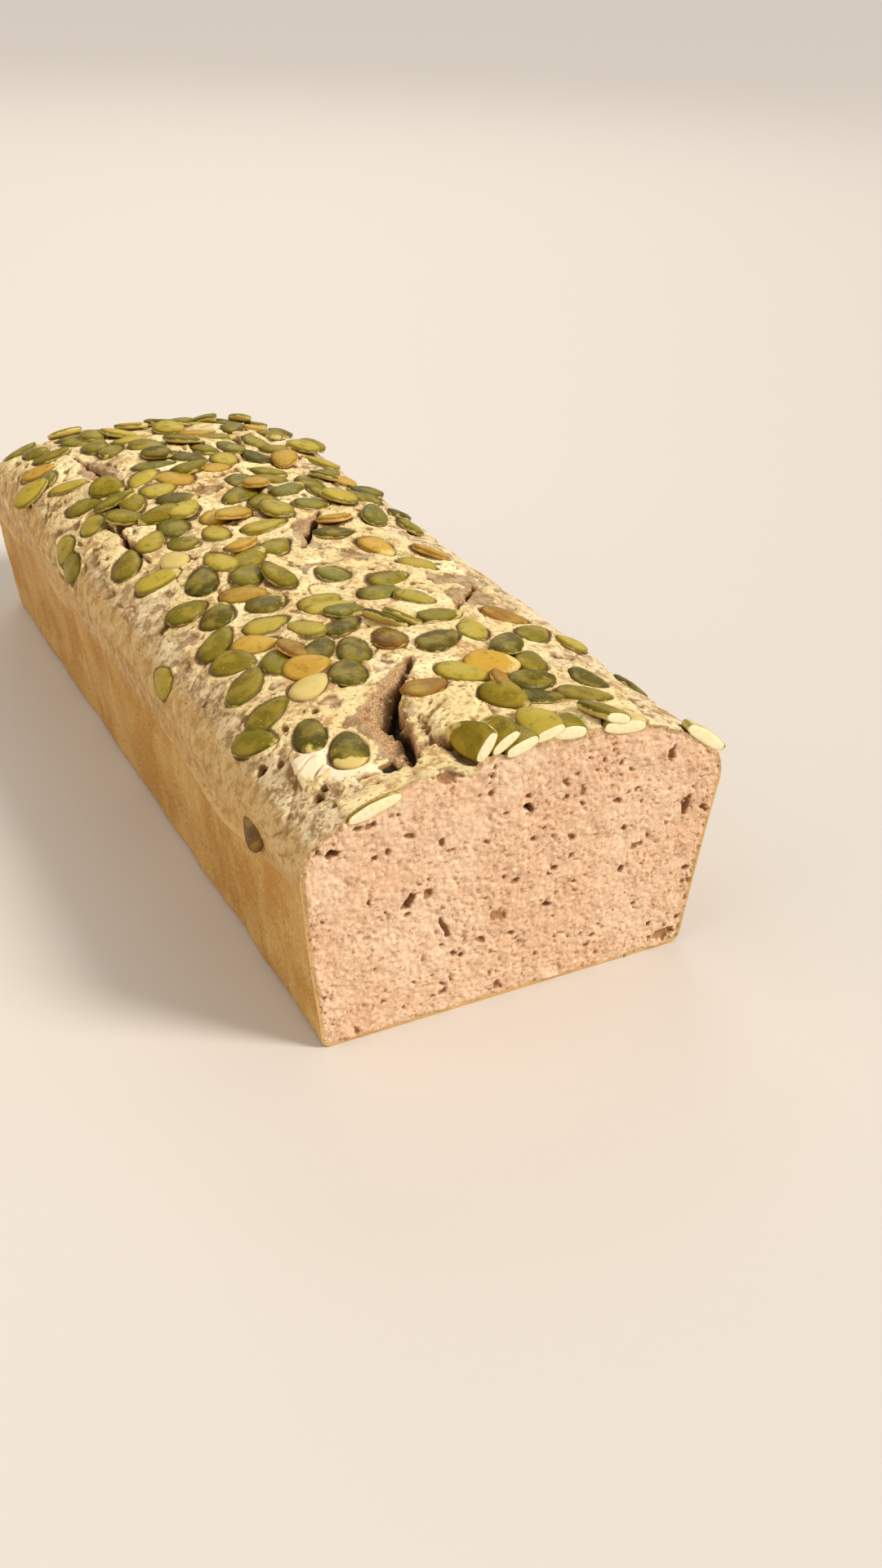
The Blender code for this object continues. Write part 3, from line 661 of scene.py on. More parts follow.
sides = dict(
    straightStep=0.72, cornerSteps=44, endSteps=90, wallSteps=74, footSteps=5, baseSteps=12,
    grain=((0.35, 13, 51), (0.12, 4.5, 51), (0.05, 1.6, 51)),  # amount, size, seed
    pits=(2.2, 52), pitDepth=0.30, pitShare=(0.62, 0.85), ledgePatches=(30, 56),  # size, seed
    # the ledge: how far below the rim at the cut, how far further back, and from where on
    ledge=(1.5, 8.0, 45), ledgeHeight=0.80, ledgeWidth=1.0, ledgeDrift=((1.2, 22, 55),),
    creaseDepth=0.80, creaseAbove=3.0, creaseWidth=1.6,
)


def tinPath():
    # the tin's rim seen from above: half width, place across it, along, and the way out
    straight = loaf["length"] - loaf["cornerRadius"]
    walls = np.linspace(0, straight, round(straight / sides["straightStep"]))
    turn = np.linspace(0, math.pi / 2, sides["cornerSteps"])[1:]
    corner = straight + loaf["cornerRadius"] * np.sin(turn)
    end = np.linspace(1, -1, sides["endSteps"])[1:-1]
    rows = [(rimHalf(y), 1, y, 1, 0) for y in walls]
    rows += [(rimHalf(y), 1, y, math.cos(t), math.sin(t)) for y, t in zip(corner, turn)]
    mirrored = [(half, -1, y, -nx, ny) for half, _, y, nx, ny in reversed(rows)]
    rows += [(rimHalf(loaf["length"]), share, loaf["length"], 0, 1) for share in end]
    return np.array(rows + mirrored)


def makeSides():
    half, share, y, outX, outY = (column[None, :] for column in tinPath().T)
    taper = (loaf["rimWidth"] - loaf["footWidth"]) / 2
    radius = loaf["footRadius"]
    up = np.linspace(1, 0, sides["wallSteps"])[:, None]
    rim = rimHeight(y)
    height = radius + (rim - radius) * up
    wall = worldPoint(share * (half - taper * (1 - up)), y + 0 * up, height)
    turn = np.linspace(math.pi / 2, 0, sides["footSteps"])[1:, None]
    inset = radius * (1 - np.sin(turn))
    foot = worldPoint(share * (half - taper), y + 0 * turn, radius * (1 - np.cos(turn)) + 0 * y)
    foot[..., 0] -= inset * outX
    foot[..., 1] -= inset * outY
    last = foot[-1]
    middle = np.minimum(last[:, 1], last[:, 1].max() - loaf["footWidth"] / 2)
    centre = np.stack([0 * y[0], middle, 0 * y[0]], -1)
    inward = np.linspace(0, 1, sides["baseSteps"])[1:, None, None]
    base = last + (centre - last) * inward
    points = np.concatenate([wall, foot, base])
    normals = sheetNormals(points, 0)
    fromCut = points[..., 1] + halfLength
    fade = ease(loaf["endHeight"] + 3, loaf["endHeight"] - 4, points[..., 2]) * ease(0, 3, fromCut)
    fade = fade * ease(0, 2, points[..., 2])
    height = roughened(points, sides["grain"]) * fade
    pits = ease(*sides["pitShare"], noise(points, *sides["pits"]))
    height = height - sides["pitDepth"] * pits * fade
    # painted shade: hollowShade is how far a point lies below its blurred neighbours, as in the pits; the
    # finish darkens it
    hollowShade = np.clip((softened(height, 5) - height) / 0.25, -1, 1)
    # the batter's edge against the tin: a soft ledge with a crease above it, lower further from the cut
    near, far, reach = sides["ledge"]
    drop = roughened(points, sides["ledgeDrift"], near + (far - near) * ease(0, reach, fromCut))
    below = rim - points[..., 2] - drop
    kept = np.maximum(ease(0.0, 0.6, noise(points, *sides["ledgePatches"])), ease(85, 45, fromCut)) * fade
    height = height + sides["ledgeHeight"] * np.exp(-(below / sides["ledgeWidth"]) ** 2) * kept
    crease = np.exp(-((below + sides["creaseAbove"]) / sides["creaseWidth"]) ** 2)
    height = height - sides["creaseDepth"] * crease * kept * ease(0, 1.5, below + drop)
    moved = sway(points) + normals * height[..., None]
    moved[..., 2] = np.maximum(moved[..., 2], 0)
    return gridMesh("tin_crust", moved, dict(below=below, ledge=kept, hollowShade=hollowShade), flip=True)


# Node trees that shape a piece

def newShapeTree(name, **inputs):
    # a Geometry Nodes tree with named inputs; gives the tree and its input sockets
    tree = bpy.data.node_groups.new(name, "GeometryNodeTree")
    for label, kind in {"Geometry": "Geometry", **inputs, "Material": "Material"}.items():
        tree.interface.new_socket(label, in_out="INPUT", socket_type="NodeSocket" + kind)
    tree.interface.new_socket("Geometry", in_out="OUTPUT", socket_type="NodeSocketGeometry")
    return tree, tree.nodes.new("NodeGroupInput").outputs


def randomPush(tree, sockets, amount=1.0):
    # a smooth random vector round zero, from a noise with these sockets
    wild = addNode(tree, "ShaderNodeTexNoise", sockets, out="Color")
    wild = addNode(tree, "ShaderNodeVectorMath", {0: wild, 1: (0.5, 0.5, 0.5)}, operation="SUBTRACT")
    return addNode(tree, "ShaderNodeVectorMath", {0: wild, "Scale": amount}, operation="SCALE")


def strewn(tree, points, shape, turn, size):
    # the shape on each point, turned and sized, made real
    turn = addNode(tree, "FunctionNodeEulerToRotation", {0: turn})
    laid = addNode(tree, "GeometryNodeInstanceOnPoints", {
        "Points": points, "Instance": shape, "Rotation": turn, "Scale": size})
    return addNode(tree, "GeometryNodeRealizeInstances", {"Geometry": laid})


def endTree(tree, shape, material):
    named = addNode(tree, "GeometryNodeSetMaterial", {"Geometry": shape, "Material": material})
    addNode(tree, "NodeGroupOutput", {"Geometry": named}, out=None)
    return tree


def pointCloud(name, places):
    cloud = bpy.data.meshes.new(name)
    cloud.from_pydata([tuple(place) for place in places], [], [])
    return newObject(name + "_points", cloud)


def grown(name, source, tree, values):
    # runs the tree on the source and keeps the result as a plain mesh
    modifier = source.modifiers.new("grow", "NODES")
    modifier.node_group = tree
    for item in tree.interface.items_tree:
        if item.in_out == "INPUT" and item.name in values:  # set by the socket's identifier
            modifier[item.identifier] = values[item.name]
    bpy.context.view_layer.update()
    depsgraph = bpy.context.evaluated_depsgraph_get()
    mesh = bpy.data.meshes.new_from_object(
        source.evaluated_get(depsgraph), preserve_all_data_layers=True, depsgraph=depsgraph)
    used = [material for material in mesh.materials if material]
    mesh.materials.clear()
    for material in used:
        mesh.materials.append(material)
    mesh.polygons.foreach_set("material_index", [0] * len(mesh.polygons))
    bpy.data.objects.remove(source)
    return newObject(name, mesh)


# Cut face: moist crumb full of small pores, inside a thin golden crust

crumb = dict(
    columns=400, rows=236,
    # spacing, depth, radius, rarity
    pores=((1.2, 0.60, 0.52, 0.0), (2.3, 1.1, 0.52, 0.12), (4.6, 1.3, 0.32, 0.56), (8.0, 0.9, 0.20, 0.64)),
    # how crooked the pores are, the crumb's grain and lumps, and where smears close most pores
    warp=2.6, warpSize=2.1, grain=1.04, grainSize=1.1, grainMiddle=0.42, seed=7, innerShare=0.35,
    lumps=1.52, lumpSize=5.0, closedSize=8.0, closedShare=(0.40, 0.58), closedLeft=0.35,
    ragged=((0.5, 1.5, 81), (0.3, 0.7, 82)), batterPlace=-18.6, batterRagged=((1, 2.5, 83),),
    # across, height, half width, half height, turn, depth
    holes=(
        (-44.1, 48.5, 1.5, 1.0, 20, 3.0), (1.3, 47.8, 1.6, 0.9, -25, 3.2), (-35.5, 52.9, 1.2, 0.8, 30, 1.2),
        (-26.8, 48.3, 1.6, 0.9, 0, 0.8), (-19.2, 44.9, 0.9, 1.4, 0, 1.2), (-26.6, 32.1, 1.0, 2.6, -35, 2.4),
        (-17.5, 22.5, 0.7, 3.6, 25, 1.3), (-1.1, 30.4, 1.5, 0.8, 10, 1.3), (7.4, 21.5, 1.2, 0.7, 0, 1.6),
        (23.5, 44.3, 1.1, 1.0, 0, 1.6), (42.6, 38.1, 0.9, 3.0, -12, 2.0), (47.5, 36.9, 0.8, 0.9, 0, 1.3),
        (36.4, 53.1, 1.3, 1.6, 0, 1.3), (26.8, 25.8, 1.2, 0.8, 30, 1.6), (29.7, 30.9, 1.2, 1.0, 0, 0.9),
        (12.5, 37.6, 1.0, 0.8, 0, 1.0), (36.3, 7.8, 0.5, 0.9, -20, 2.0), (-5.0, 22.4, 2.6, 1.7, 0, 0.6),
        (-34.5, 44.9, 0.9, 0.7, 0, 1.0), (8.9, 30.8, 0.8, 0.7, 0, 1.3), (-16.8, 42.1, 1.4, 0.5, 0, 0.8),
        (-18.5, 60.2, 3.4, 2.0, -10, 1.15), (14.3, 48.6, 1.0, 1.2, 0, 0.7), (41.5, 3.4, 4.0, 1.8, 8, 1.2),
        (-4.5, 48.0, 0.8, 0.5, 0, 0.9), (-8.6, 17.0, 1.8, 0.8, -30, 0.9), (20.5, 9.5, 0.7, 0.7, 0, 1.0),
    ),
)


def makeCutFace(topLine):
    # from the swayed top line of the crown straight down to the base
    half = loaf["footWidth"] / 2
    radius = loaf["footRadius"]
    shares = acrossShares(crown["columns"])
    trueTop = crownPoint(shares * loaf["rimWidth"] / 2, 0 * shares)
    shift = topLine - sway(trueTop)
    known = np.arange(len(shares))
    place = np.interp(np.linspace(0, 1, crumb["columns"]), np.linspace(0, 1, len(shares)), known)
    trueTop, shift = (
        np.stack([np.interp(place, known, column) for column in line.T], -1) for line in (trueTop, shift))
    footX = np.interp(place, known, shares) * half
    corner = np.clip(np.abs(footX) - (half - radius), 0, radius)
    foot = worldPoint(footX, 0 * footX, radius - np.sqrt(radius ** 2 - corner ** 2))
    up = np.linspace(0, 1, crumb["rows"])[:, None, None]
    plain = foot + (trueTop - foot) * up
    points = sway(plain) + shift * up
    points[..., 1] = -halfLength
    points[..., 2] = np.maximum(points[..., 2], 0)

    border = np.concatenate([points[-1], points[0], points[:, 0], points[:, -1]])[:, [0, 2]]
    edge = np.array([
        np.sqrt(((row[:, None] - border[None]) ** 2).sum(-1)).min(1) for row in points[..., [0, 2]]])

    hole = np.zeros_like(edge)
    ragged = roughened(points, crumb["ragged"])
    for x, z, wide, tall, turn, depth in crumb["holes"]:
        c, s = math.cos(math.radians(turn)), math.sin(math.radians(turn))
        dx, dz = points[..., 0] - x, points[..., 2] - z
        off = np.hypot((dx * c + dz * s) / wide, (dz * c - dx * s) / tall)
        hole = np.maximum(hole, depth * ease(1.1, 0.45, off + ragged * (off < 2)))
    # batter that ran down over the cut's top edge, beside the crack
    beside = roughened(points, crumb["batterRagged"], np.abs(points[..., 0] - crumb["batterPlace"]))
    batter = ease(7.5, 5.0, beside) * ease(2.6, 1.4, edge + 0.6 * ragged)
    batter = batter * (points[..., 2] > loaf["wallHeight"])
    wall = ease(48, 42, points[..., 2])
    return gridMesh("crumb_sheet", points, dict(edge=edge, hole=hole, batter=batter, wall=wall))


def crumbTree():
    # pores of four sizes, each a warped cell pattern pressed into a lumpy face; smeared patches have few
    tree, given = newShapeTree(
        "crumb_pores", Depth="Float", Warp="Float", Grain="Float", Lumps="Float", Seed="Int")
    shift = addNode(tree, "ShaderNodeCombineXYZ", {0: given["Seed"], 1: given["Seed"], 2: 0.0})
    here = addNode(tree, "GeometryNodeInputPosition")
    place = addNode(tree, "ShaderNodeVectorMath", {0: here, 1: shift}, operation="ADD")
    wild = randomPush(tree, {
        "Vector": place, "Scale": 1 / (crumb["warpSize"] * mm), "Detail": 2.0}, given["Warp"])
    bent = addNode(tree, "ShaderNodeVectorMath", {0: place, 1: wild}, operation="ADD")

    value = dict(pores=0.0, depth=given["Depth"], grain=given["Grain"], lumps=given["Lumps"], mm=mm)
    for label in ("edge", "hole"):
        value[label] = addNode(tree, "GeometryNodeInputNamedAttribute", {"Name": label})
    for label, size, detail in (
            ("rough", "grainSize", 3.0), ("bulge", "lumpSize", 1.0), ("closed", "closedSize", 1.0)):
        value[label] = addNode(tree, "ShaderNodeTexNoise", {
            "Vector": place, "Scale": 1 / (crumb[size] * mm), "Detail": detail}, out="Fac")
    for label, low, high, bottom in (
            ("edge", 0.15, 1.1, 0.0), ("closed", *crumb["closedShare"], crumb["closedLeft"])):
        value["in" + label] = addNode(tree, "ShaderNodeMapRange", {
            "Value": value[label], "From Min": low, "From Max": high, "To Min": bottom, "To Max": 1.0},
            interpolation_type="SMOOTHSTEP")

    for spacing, depth, radius, rarity in crumb["pores"]:
        cells = addNode(tree, "ShaderNodeTexVoronoi", {
            "Vector": bent, "Scale": 1 / (spacing * mm)}, out=None)
        parts = addNode(tree, "ShaderNodeSeparateXYZ", {0: cells.outputs["Color"]}, out=None)
        wide = addNode(tree, "ShaderNodeMapRange", {
            "Value": parts.outputs[0], "From Min": rarity, "From Max": 1.0,
            "To Min": 0.0, "To Max": radius})
        inner = addNode(tree, "ShaderNodeMath", {0: wide, 1: crumb["innerShare"]}, operation="MULTIPLY")
        pore = addNode(tree, "ShaderNodeMapRange", {
            "Value": cells.outputs["Distance"], "From Min": wide, "From Max": inner,
            "To Min": 0.0, "To Max": depth * mm}, interpolation_type="SMOOTHSTEP")
        share = addNode(tree, "ShaderNodeMath", {
            0: parts.outputs[1], 1: 0.7, 2: 0.3}, operation="MULTIPLY_ADD")
        pore = addNode(tree, "ShaderNodeMath", {0: pore, 1: share}, operation="MULTIPLY")
        value["pores"] = addNode(tree, "ShaderNodeMath", {
            0: value["pores"], 1: pore}, operation="MAXIMUM")
    for label, operation, *parts in (
        ("pores", "MULTIPLY", "pores", "depth"),
        ("pores", "MULTIPLY", "pores", "inclosed"),
        ("hole", "MULTIPLY", "hole", "mm"),
        ("pores", "MAXIMUM", "pores", "hole"),
        ("pores", "MULTIPLY", "pores", "inedge"),
        ("rough", "SUBTRACT", "rough", crumb["grainMiddle"]),
        ("rough", "MULTIPLY", "rough", "grain"),
        ("bulge", "SUBTRACT", "bulge", 0.5),
        ("bulge", "MULTIPLY", "bulge", "lumps"),
        ("rough", "ADD", "rough", "bulge"),
        ("rough", "MULTIPLY", "rough", "inedge"),
        ("inward", "SUBTRACT", "pores", "rough"),
        ("stored", "DIVIDE", "pores", "mm"),
    ):
        sockets = {i: value.get(part, part) for i, part in enumerate(parts)}
        value[label] = addNode(tree, "ShaderNodeMath", sockets, operation=operation)
    # the pores' depth in mm, kept for the finish, which paints shade into them with it
    stored = addNode(tree, "GeometryNodeStoreNamedAttribute", {
        "Geometry": given["Geometry"], "Name": "pore", "Value": value["stored"]}, domain="POINT")
    moved = addNode(tree, "GeometryNodeSetPosition", {
        "Geometry": stored, "Offset": addNode(tree, "ShaderNodeCombineXYZ", {1: value["inward"]})})
    real = addNode(tree, "GeometryNodeRealizeInstances", {"Geometry": moved})
    return endTree(tree, real, given["Material"])


# Seeds: one drop-shaped lens, instanced on a cloud of points and made real

def seedTree():
    tree, given = newShapeTree("pumpkin_seeds", Around="Int", Rings="Int", Unevenness="Float")
    ball = addNode(tree, "GeometryNodeMeshUVSphere", {
        "Segments": given["Around"], "Rings": given["Rings"], "Radius": 1.0})
    at = addNode(tree, "ShaderNodeSeparateXYZ", {0: addNode(tree, "GeometryNodeInputPosition")}, out=None)
    value = dict(zip(("x", "y", "z"), at.outputs))
    for label, operation, *parts in (
        ("rim", "MULTIPLY", "z", "z"),
        ("rim", "SUBTRACT", 1.0, "rim"),
        ("rim", "SQRT", "rim"),
        ("tall", "ABSOLUTE", "z"),
        ("tall", "POWER", "tall", seeds["flatTop"]),
        ("side", "SIGN", "z"),
        ("tall", "MULTIPLY", "tall", "side"),
        ("slim", "MULTIPLY", "x", seeds["pointShare"]),
        ("slim", "SUBTRACT", 1.0, "slim"),
        ("wide", "MULTIPLY", "y", "slim"),
        ("tip", "MAXIMUM", "x", 0.0),
        ("tip", "POWER", "tip", seeds["tipPower"]),
        ("tip", "MULTIPLY", "tip", seeds["tip"]),
        ("long", "ADD", "x", "tip"),
    ):
        sockets = {i: value.get(part, part) for i, part in enumerate(parts)}
        value[label] = addNode(tree, "ShaderNodeMath", sockets, operation=operation)
    drop = addNode(tree, "ShaderNodeCombineXYZ", {0: value["long"], 1: value["wide"], 2: value["tall"]})
    shaped = addNode(tree, "GeometryNodeSetPosition", {"Geometry": ball, "Position": drop})
    for label, source in (("rim", "rim"), ("lengthwise", "x"), ("sideways", "y"), ("upper", "z")):
        shaped = addNode(tree, "GeometryNodeStoreNamedAttribute", {
            "Geometry": shaped, "Name": label, "Value": value[source]}, domain="POINT")
    smooth = addNode(tree, "GeometryNodeSetShadeSmooth", {"Geometry": shaped})
    lean, size = (
        addNode(tree, "GeometryNodeInputNamedAttribute", {"Name": label}, data_type="FLOAT_VECTOR")
        for label in ("lean", "size"))
    real = strewn(tree, given["Geometry"], smooth, lean, size)
    wild = randomPush(tree, {"Scale": 1 / (seeds["unevenSize"] * mm), "Detail": 1.0}, given["Unevenness"])
    uneven = addNode(tree, "GeometryNodeSetPosition", {"Geometry": real, "Offset": wild})
    return endTree(tree, uneven, given["Material"])


def makeSeeds(name, chosen, tree, material, finish="near"):
    source = pointCloud(name, [seed["middle"] * mm for seed in chosen])
    half = mm / 2
    thickness = seeds["cutThickness" if finish == "cut" else "thickness"]
    rows = dict(
        lean=[seed["basis"].to_euler() for seed in chosen],
        size=[(seed["length"] * half, seed["width"] * half, thickness * half) for seed in chosen],
        skinColour=[
            [c * seed["light"] for c in linear(seeds["shades"][seed["shade"]])[:3]] for seed in chosen],
        wear=[seed["wear"] for seed in chosen],
        end=[seed["end"] for seed in chosen],
    )
    for label, row in rows.items():
        single = label in ("wear", "end")
        layer = source.data.attributes.new(label, "FLOAT" if single else "FLOAT_VECTOR", "POINT")
        layer.data.foreach_set("value" if single else "vector", np.array(row, dtype=np.float32).ravel())
    return grown(name, source, tree, {
        "Around": seeds[finish + "Sides"], "Rings": seeds[finish + "Rings"],
        "Unevenness": seeds["unevenness"] * mm, "Material": material})


def cutThrough(piece, kernel):
    # slices a piece at the cut face and closes it with the kernel's own material
    piece.data.materials.append(kernel)
    work = bmesh.new()
    work.from_mesh(piece.data)
    result = bmesh.ops.bisect_plane(
        work, geom=work.verts[:] + work.edges[:] + work.faces[:], dist=1e-7,
        plane_co=(0, -halfLength * mm, 0), plane_no=(0, -1, 0), clear_outer=True)
    edges = [e for e in result["geom_cut"] if isinstance(e, bmesh.types.BMEdge)]
    faces = bmesh.ops.holes_fill(work, edges=edges)["faces"]
    faces.sort(key=lambda face: face.calc_center_median().x)
    for number, face in enumerate(faces):
        # each kernel stands more or less proud of the crumb, ringed by its skin and slightly domed
        centre = face.calc_center_median()
        step = seeds["cutStep"] * (number % 3 - seeds["cutProud"]) * mm
        for width, raised, index in ((seeds["skinWidth"], 0, 0), (0.12, 0.6, 1), (0.35, 1, 1)):
            rim = bmesh.ops.inset_individual(work, faces=[face], thickness=0.0)["faces"]
            for part in rim:
                part.material_index = index
                part.smooth = index == 1
            for vertex in face.verts:
                vertex.co = centre + (vertex.co - centre) * (1 - width)
                vertex.co.y = -halfLength * mm - raised * seeds["kernelRaise"] * mm
        face.material_index = 1
        island, fresh = set(face.verts), set(face.verts)
        while fresh:
            fresh = {edge.other_vert(v) for v in fresh for edge in v.link_edges} - island
            island |= fresh
        for vertex in island:
            if vertex.co.y < (1 - halfLength) * mm:
                vertex.co.y += step
    bmesh.ops.recalc_face_normals(work, faces=work.faces)
    work.to_mesh(piece.data)
    work.free()
    return piece


# Crumbs: torn bits of crust and crumb that cling to the cut and lie in the cracks

bits = dict(size=(0.35, 1.1), sizePower=2.5, lumpiness=2.4, onCut=150, onTop=170, seed=19)  # most are small


def bitTree():
    tree, given = newShapeTree("crust_crumbs", Smallest="Float", Largest="Float", Seed="Int")
    ball = addNode(tree, "GeometryNodeMeshIcoSphere", {"Radius": 0.5, "Subdivisions": 2})
    wild = randomPush(tree, {"Scale": bits["lumpiness"], "Detail": 1.0})
    ball = addNode(tree, "GeometryNodeSetPosition", {"Geometry": ball, "Offset": wild})
    turn = addNode(tree, "FunctionNodeRandomValue", {
        0: (0, 0, 0), 1: (6.28, 6.28, 6.28), "Seed": given["Seed"]}, data_type="FLOAT_VECTOR")
    share = addNode(tree, "FunctionNodeRandomValue", {
        2: 0.0, 3: 1.0, "Seed": given["Seed"]}, out=1, data_type="FLOAT")
    share = addNode(tree, "ShaderNodeMath", {0: share, 1: bits["sizePower"]}, operation="POWER")
    size = addNode(tree, "ShaderNodeMapRange", {
        "Value": share, "To Min": given["Smallest"], "To Max": given["Largest"]})
    real = strewn(tree, given["Geometry"], ball, turn, size)
    smooth = addNode(tree, "GeometryNodeSetShadeSmooth", {"Geometry": real})
    return endTree(tree, smooth, given["Material"])


def makeBits(name, face, crownPieces, tree, material):
    # half sunk into the cut face, and on the crown mostly where it is torn or split
    draw = random.Random(bits["seed"])
    places = []
    spots = [v.co for v in face.data.vertices]
    edge = [v.value for v in face.data.attributes["edge"].data]
    while len(places) < bits["onCut"]:
        i = draw.randrange(len(spots))
        if edge[i] > 0.3 and draw.random() < 0.15 + 0.85 * math.exp(-edge[i] / 5):
            places.append(spots[i])
    for piece, count in zip(crownPieces, (0.75, 0.25)):
        spots = [v.co for v in piece.data.vertices]
        inside = [v.value for v in piece.data.attributes["inside"].data]
        deep = [v.value for v in piece.data.attributes["deep"].data]
        goal = len(places) + round(bits["onTop"] * count)
        while len(places) < goal:
            i = draw.randrange(len(spots))
            fits = deep[i] < 0.5 and spots[i].y > (-halfLength + 1) * mm
            if fits and draw.random() < 0.04 + 0.96 * inside[i]:
                places.append(spots[i])
    return grown(name, pointCloud(name, places), tree, {
        "Smallest": bits["size"][0] * mm, "Largest": bits["size"][1] * mm,
        "Seed": bits["seed"], "Material": material})


# Finishes: noises by size in mm, values read from the mesh, sums of these, then layers of colour

def makeFinish(finish):
    # a layer is: what it follows, where it begins, where it is full, its colour, and what holds it back
    material = bpy.data.materials.new(finish["name"])
    material.use_nodes = True
    tree = material.node_tree
    shader = tree.nodes["Principled BSDF"]
    shader.inputs["Specular IOR Level"].default_value = finish["specular"]
    place = addNode(tree, "ShaderNodeTexCoord", out="Object")
    found = {}
    for label in finish.get("values", ()):
        found[label] = addNode(tree, "ShaderNodeAttribute", out="Fac", attribute_name=label)
    for label, size, detail, *stretch in finish["noises"]:
        spot = addNode(tree, "ShaderNodeMapping", {"Vector": place, "Scale": stretch or (1, 1, 1)})
        found[label] = addNode(tree, "ShaderNodeTexNoise", {
            "Vector": spot, "Scale": 1 / (size * mm), "Detail": detail}, out="Fac")
    for label, operation, *parts in finish.get("sums", ()):
        sockets = {i: found.get(part, part) for i, part in enumerate(parts)}
        found[label] = addNode(tree, "ShaderNodeMath", sockets, operation=operation)
    if "ridges" in finish:
        spot = addNode(tree, "ShaderNodeCombineXYZ", {
            0: found["lengthwise"], 1: found["sideways"], 2: found["medium"]})
        spot = addNode(tree, "ShaderNodeMapping", {"Vector": spot, "Scale": finish["ridges"]})
        found["ridges"] = addNode(tree, "ShaderNodeTexNoise", {
            "Vector": spot, "Scale": 1.0, "Detail": 3.0}, out="Fac")

    colour = finish["base"]
    if colour.startswith("#"):
        colour = linear(colour)
    else:
        colour = addNode(tree, "ShaderNodeAttribute", out="Color", attribute_name=colour)
    for label, low, high, code, *limits in finish["layers"]:
        share = addNode(tree, "ShaderNodeMapRange", {
            "Value": found[label], "From Min": low, "From Max": high}, interpolation_type="SMOOTHSTEP")
        for limit in limits:
            share = addNode(tree, "ShaderNodeMath", {
                0: share, 1: found.get(limit, limit)}, operation="MULTIPLY")
        colour = addNode(tree, "ShaderNodeMix", {
            0: share, 6: colour, 7: linear(code)}, out=2, data_type="RGBA")
    tree.links.new(colour, shader.inputs["Base Color"])
    label, low, high, dull, bright = finish["gloss"]
    rough = addNode(tree, "ShaderNodeMapRange", {
        "Value": found[label], "From Min": low, "From Max": high, "To Min": dull, "To Max": bright})
    tree.links.new(rough, shader.inputs["Roughness"])
    label, distance, strength = finish["bump"]
    bump = addNode(tree, "ShaderNodeBump", {
        "Height": found[label], "Distance": distance * mm, "Strength": strength}, out="Normal")
    tree.links.new(bump, shader.inputs["Normal"])
    return material


crustNoises = (("broad", 14, 2), ("medium", 3.4, 2), ("fine", 0.9, 3))

# gluten-free batter dried and browned in open air: taupe, matt and leathery, with a few specks of flour
openCrust = (
    ("broad", 0.36, 0.64, "#dcc69e"),
    ("medium", 0.50, 0.61, "#a4875f"),
    ("medium", 0.46, 0.36, "#e5d4ab", 0.85),
    ("fine", 0.55, 0.68, "#e9d9b1", 0.75),
    ("fine", 0.45, 0.35, "#957a53", 0.65),
)

# the same batter where it stayed thick and floury: cream, smooth, browner where it broke, with painted
# shade that darkens its hollows and, darkest, the cracks
bakedBatterTop = dict(
    name="baked_batter_top", specular=0.3,
    # flour grit is finer than this, drawn coarser to show
    noises=crustNoises + (("crumbly", 0.55, 3), ("scaly", 1.9, 1), ("grit", 0.6, 3)),
    values=("skin", "inside", "hollowShade", "deep", "floury", "crinkled", "seamShade", "lowSide", "bare"),
    sums=(("scaly", "SUBTRACT", "scaly", 0.5), ("scaly", "ABSOLUTE", "scaly")),
    base="#c9ac7c",
    layers=openCrust + (
        ("scaly", 0.030, 0.008, "#e8d6ae", "crinkled", 0.5),    # fine crinkles of dried skin
        ("fine", 0.55, 0.68, "#e6d5ac", "crinkled", 0.6),
        ("fine", 0.46, 0.36, "#8f7148", "crinkled", 0.6),
        ("bare", 0.0, 1.0, "#8c6c47", 0.55),                   # where little batter stuck
        ("lowSide", 0.2, 1.0, "#bf974e", 0.55),
        ("skin", 0.0, 1.0, "#e2cb92"),
        ("medium", 0.47, 0.66, "#bb9664", "skin"),
        ("broad", 0.50, 0.68, "#f4e6b2", "skin", 0.75),
        ("fine", 0.56, 0.70, "#f7edc0", "skin", 0.7),
        ("fine", 0.44, 0.34, "#a27a45", "skin", 0.8),
        ("floury", 0.0, 1.0, "#f3e0bf", 0.85),
        ("inside", 0.0, 1.0, "#94704a"),
        ("crumbly", 0.38, 0.60, "#c4a074", "inside"),
        # painted shade, browner in hollows and pits
        ("hollowShade", 0.05, 0.75, "#805826", 0.9),
        ("seamShade", 0.0, 0.85, "#54340c", 0.85),                  # painted shade: a dark line under the seeds' rims
        # painted shade, near black, down in the crack gaps and deep pits
        ("deep", 0.25, 0.8, "#32200f"),
    ),
    gloss=("medium", 0.3, 0.7, 0.66, 0.86), bump=("grit", 0.22, 0.7),
)

# crust pressed against a greased and papered tin: thin, smooth, golden tan, faintly glossy
tinBakedCrust = dict(
    name="tin_baked_crust", specular=0.26,
    noises=crustNoises + (("streaks", 6.0, 1, 1, 1, 0.3), ("patches", 18, 2), ("grit", 0.7, 3)),
    values=("below", "ledge", "hollowShade"),
    sums=(("wall", "MULTIPLY_ADD", "below", 0.10, 0.75), ("wall", "MINIMUM", "wall", 1.0),
          ("wall", "MAXIMUM", "wall", 0.5), ("line", "ABSOLUTE", "below")),
    base="#c9ac7c",
    layers=openCrust + (
        ("wall", 0.0, 1.0, "#b7873b"),
        ("patches", 0.36, 0.66, "#c9a25c", "wall"),
        ("streaks", 0.50, 0.74, "#d8bb7d", "wall", 0.4),
        ("fine", 0.58, 0.70, "#e3c88d", "wall", 0.6),
        ("fine", 0.43, 0.33, "#9a6d2f", "wall", 0.7),
        ("line", 1.6, 0.2, "#d9bb84", "ledge", 0.6),           # painted highlight: a pale line along the ledge's ridge
        # painted shade, browner in hollows and pits of the grain
        ("hollowShade", 0.2, 1.0, "#a97c40", 0.8),
    ),
    gloss=("medium", 0.3, 0.7, 0.50, 0.66), bump=("grit", 0.10, 0.5),
)
